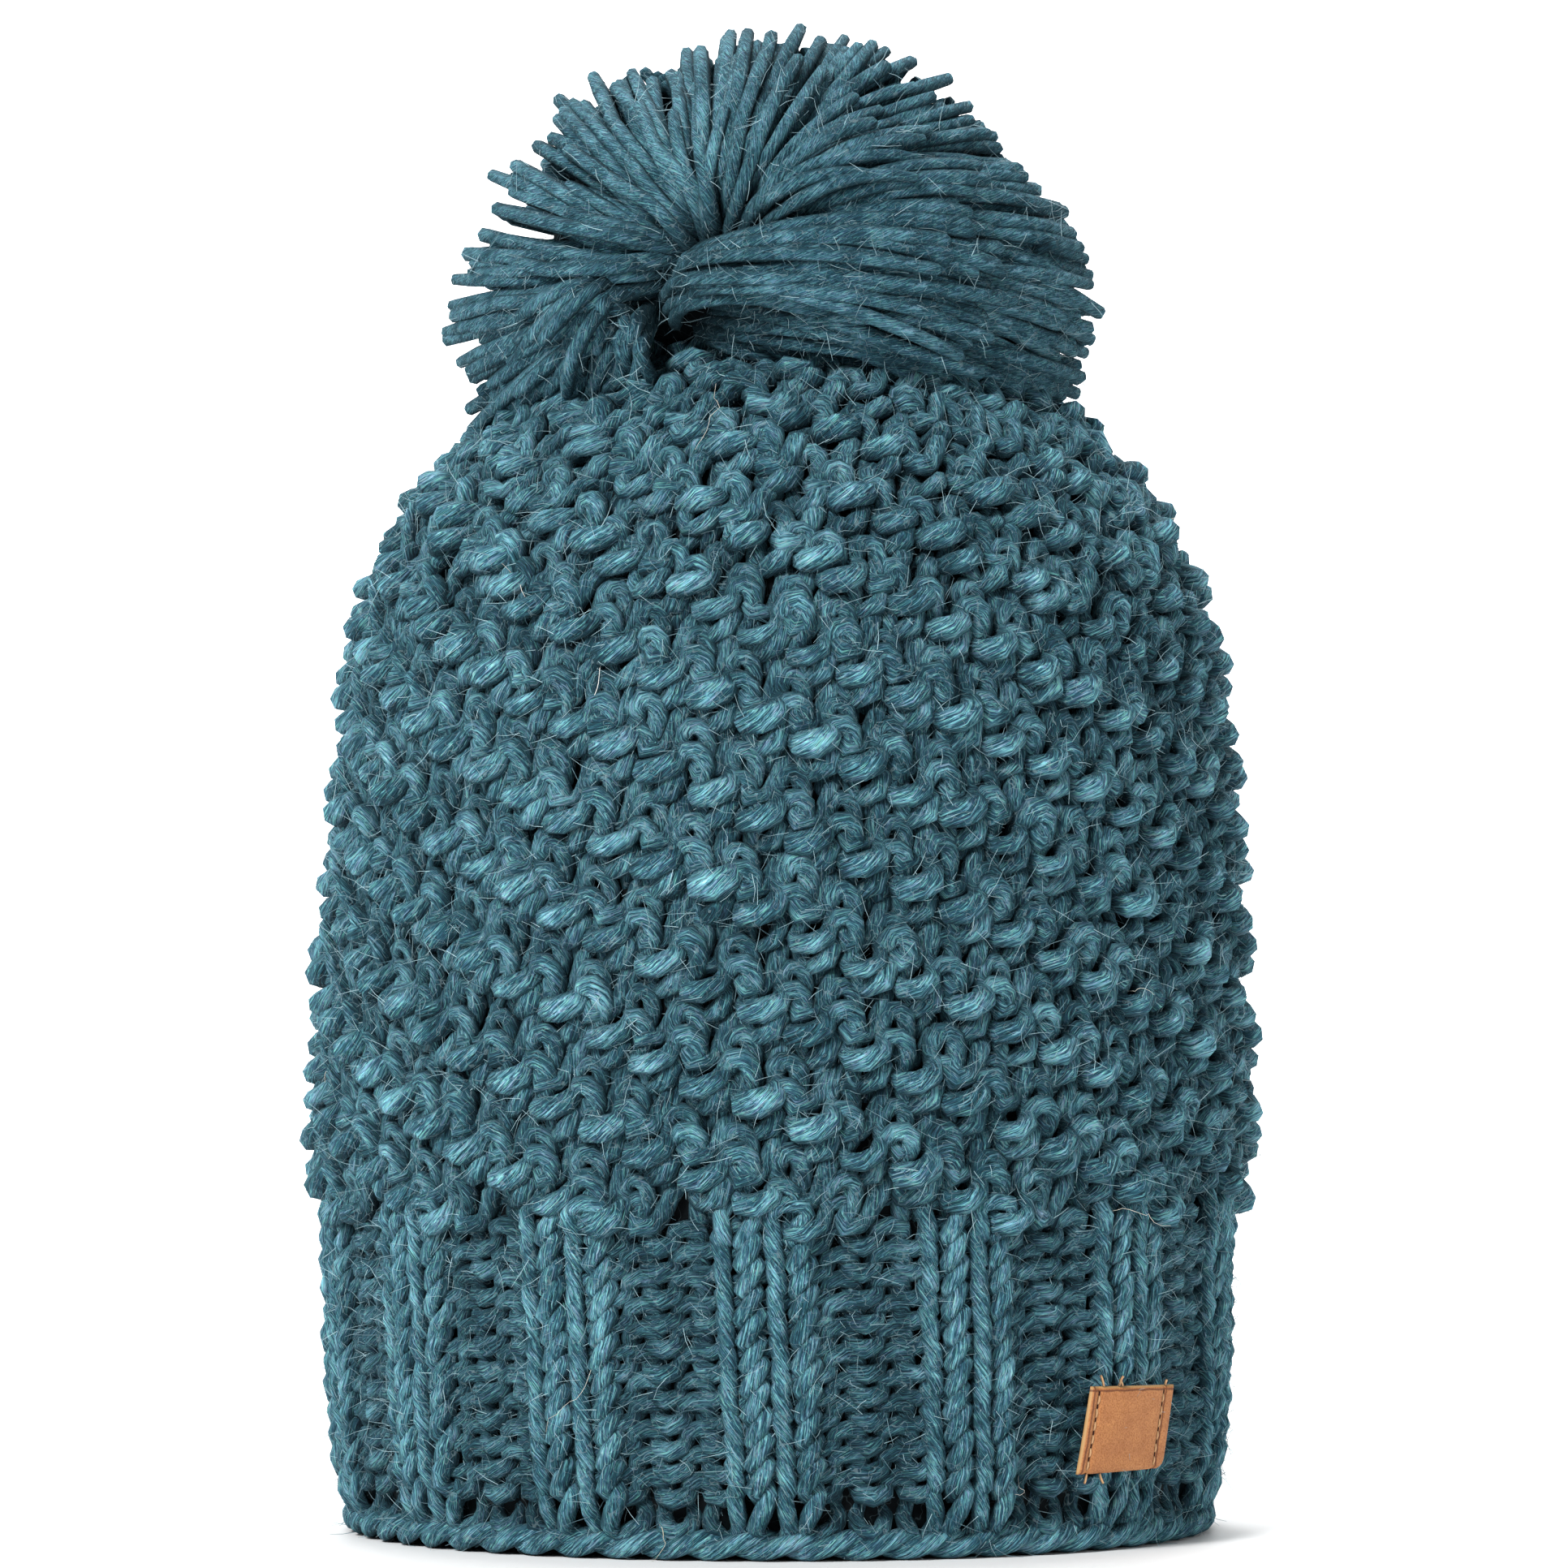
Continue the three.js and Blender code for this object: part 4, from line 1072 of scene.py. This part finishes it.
# %% Sew the label on
THREAD_RADIUS, THREAD_SUNK = 0.27 * MM, 0.1 * MM
STITCHES, SEWN_FROM, SEWN_SHARE = 6, 0.05, 0.9
THREAD_SHARE, HOLE_SHARE, HOLE_GAP = 0.62, 0.34, 0.004
THREAD_RAISED, HOLE_RAISED = 0.24 * MM, 0.02 * MM
LOOSE_ENDS = [  # place on the label, and how far the end goes across, up and out in millimetres
    (0.13, 1.0, -0.6, 2.2, 1.2), (0.30, 1.0, 0.8, 2.0, 1.6), (0.34, 1.0, -0.5, 1.4, 1.0),
    (0.10, 0.0, -0.4, -1.8, 1.0), (0.24, 0.0, 0.7, -1.9, 1.5), (0.88, 1.0, 0.3, 1.0, 0.8),
]


def thread_path(u, low, high, raised, drift=0.0):
    """A stitch up one end of the label, from one hole to the next."""
    path = []
    for s in np.linspace(0, 1, 7):
        v = low + (high - low) * s
        rise = label_top(u, v) - THREAD_SUNK + raised * math.sin(math.pi * s)
        path.append(label_point(u + drift * s, v, rise))
    return np.array(path)


def loose_end(u, v, across, up, out):
    """A cut end of thread that leaves the label's edge."""
    start = label_point(u, v, LABEL_INNER + LABEL_THICK * 0.5)
    bend = start + np.array([across * 0.3, -out, up * 0.6]) * MM
    tip = start + np.array([across, -out * 0.6, up]) * MM
    return bent_line(start, bend, tip, np.linspace(0, 1, 6)[:, None])


sewing_chance = np.random.default_rng(31)
sewn, hole_shades = [], []
for seam in SEAMS:
    for i in range(STITCHES):
        low = SEWN_FROM + SEWN_SHARE * i / STITCHES
        high = low + SEWN_SHARE * THREAD_SHARE / STITCHES
        u = seam + sewing_chance.normal(0, 0.002)
        sewn.append(thread_path(u, low, high, THREAD_RAISED, sewing_chance.normal(0, 0.004)))
        hole_shades.append(thread_path(u, high + HOLE_GAP, high + SEWN_SHARE * HOLE_SHARE / STITCHES, HOLE_RAISED))
sewn += [loose_end(*end) for end in LOOSE_ENDS]

# The holes are near-black threads: painted shade.
for name, paths, dark, pale in (
        ("label_stitches", sewn, (0.25, 0.13, 0.06, 1), (0.62, 0.42, 0.22, 1)),
        ("label_holes", hole_shades, (0.010, 0.004, 0.003, 1), (0.035, 0.012, 0.008, 1))):
    thread = wool(name, deep=dark, mid=pale, pale=pale, bump=0.3, twist=2600.0, hairiness=0.0)
    sewing = run_tree(yarn_tree, name, path_mesh(name, paths, even_notes(paths, THREAD_RADIUS, 1.0, 1.0)), {
        "Sides": 6, "Unevenness": 0.1, "Seed": 9.0, "Wool": thread})
    # Painted shade on the sides of the threads that face away from the label's outward direction.
    note_facing(sewing, lambda places: label_point(0.5, 0.5, 0) * np.ones_like(places) * (1, 1, 0))
    seat(sewing, "leather")

# %% [markdown]
# The hat stands in a plain pale studio. The floor runs up behind it in one curve, so no edge shows, and large
# soft lamps give a gentle fall of light from the left and the front.

# %% Light the studio
LAMPS = [  # name, place and aim in metres, width, power
    ("key_lamp", (-0.9, -1.7, 1.35), (0, 0, 0.14), 0.6, 56),
    ("fill_lamp", (1.6, -1.5, 0.6), (0, 0, 0.14), 1.0, 4),
    ("top_lamp", (0, 0.5, 1.9), (0, 0, 0.15), 1.2, 14),
    ("floor_lamp", (0, 0.75, 2.2), (0, 1.2, 0), 1.4, 24),
    ("backdrop_lamp", (0, 2.9, 2.6), (0, 4.0, 0), 2.2, 190),
]
FLOOR_WIDE, FLOOR_NEAR, FLOOR_FAR, FLOOR_HIGH, FLOOR_BEND = 5.0, -4.5, 4.8, 4.0, 1.0
SKY_STRENGTH = 0.32

for name, place, aim, width, power in LAMPS:
    light = bpy.data.lights.new(name, "AREA")
    light.shape = "DISK"
    light.size = width
    light.energy = power
    lamp = new_piece(name, light)
    lamp.location = place
    lamp.rotation_euler = (Vector(aim) - Vector(place)).to_track_quat("-Z", "Y").to_euler()

world = bpy.data.worlds.new("pale_studio")
bpy.context.scene.world = world
world.use_nodes = True
sky = world.node_tree.nodes["Background"].inputs
sky["Color"].default_value = (1, 1, 1, 1)
sky["Strength"].default_value = SKY_STRENGTH
bpy.context.scene.view_settings.view_transform = "Standard"

sweep = [(FLOOR_NEAR, 0.0), (FLOOR_FAR - FLOOR_BEND, 0.0)]
sweep += [(FLOOR_FAR - FLOOR_BEND * (1 - math.sin(a)), FLOOR_BEND * (1 - math.cos(a)))
          for a in np.linspace(0, math.pi / 2, 16)[1:]]
sweep += [(FLOOR_FAR, FLOOR_HIGH)]
floor = new_piece("pale_floor", smooth_mesh(
    "pale_floor", [(side * FLOOR_WIDE, y, z) for y, z in sweep for side in (-1, 1)],
    [(2 * i, 2 * i + 1, 2 * i + 3, 2 * i + 2) for i in range(len(sweep) - 1)]))
floor_paint, _, _ = new_material("pale_paint", {"Base Color": (0.9, 0.9, 0.9, 1), "Roughness": 0.9})
floor.data.materials.append(floor_paint)
floor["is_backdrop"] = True
print("lamps:", len(LAMPS))

# %% [markdown]
# The last step measures the box of the dressed hat.

# %% Measure and finish
low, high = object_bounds()
print("visual box in mm:", [round(v / MM, 1) for v in (*low, *high)])
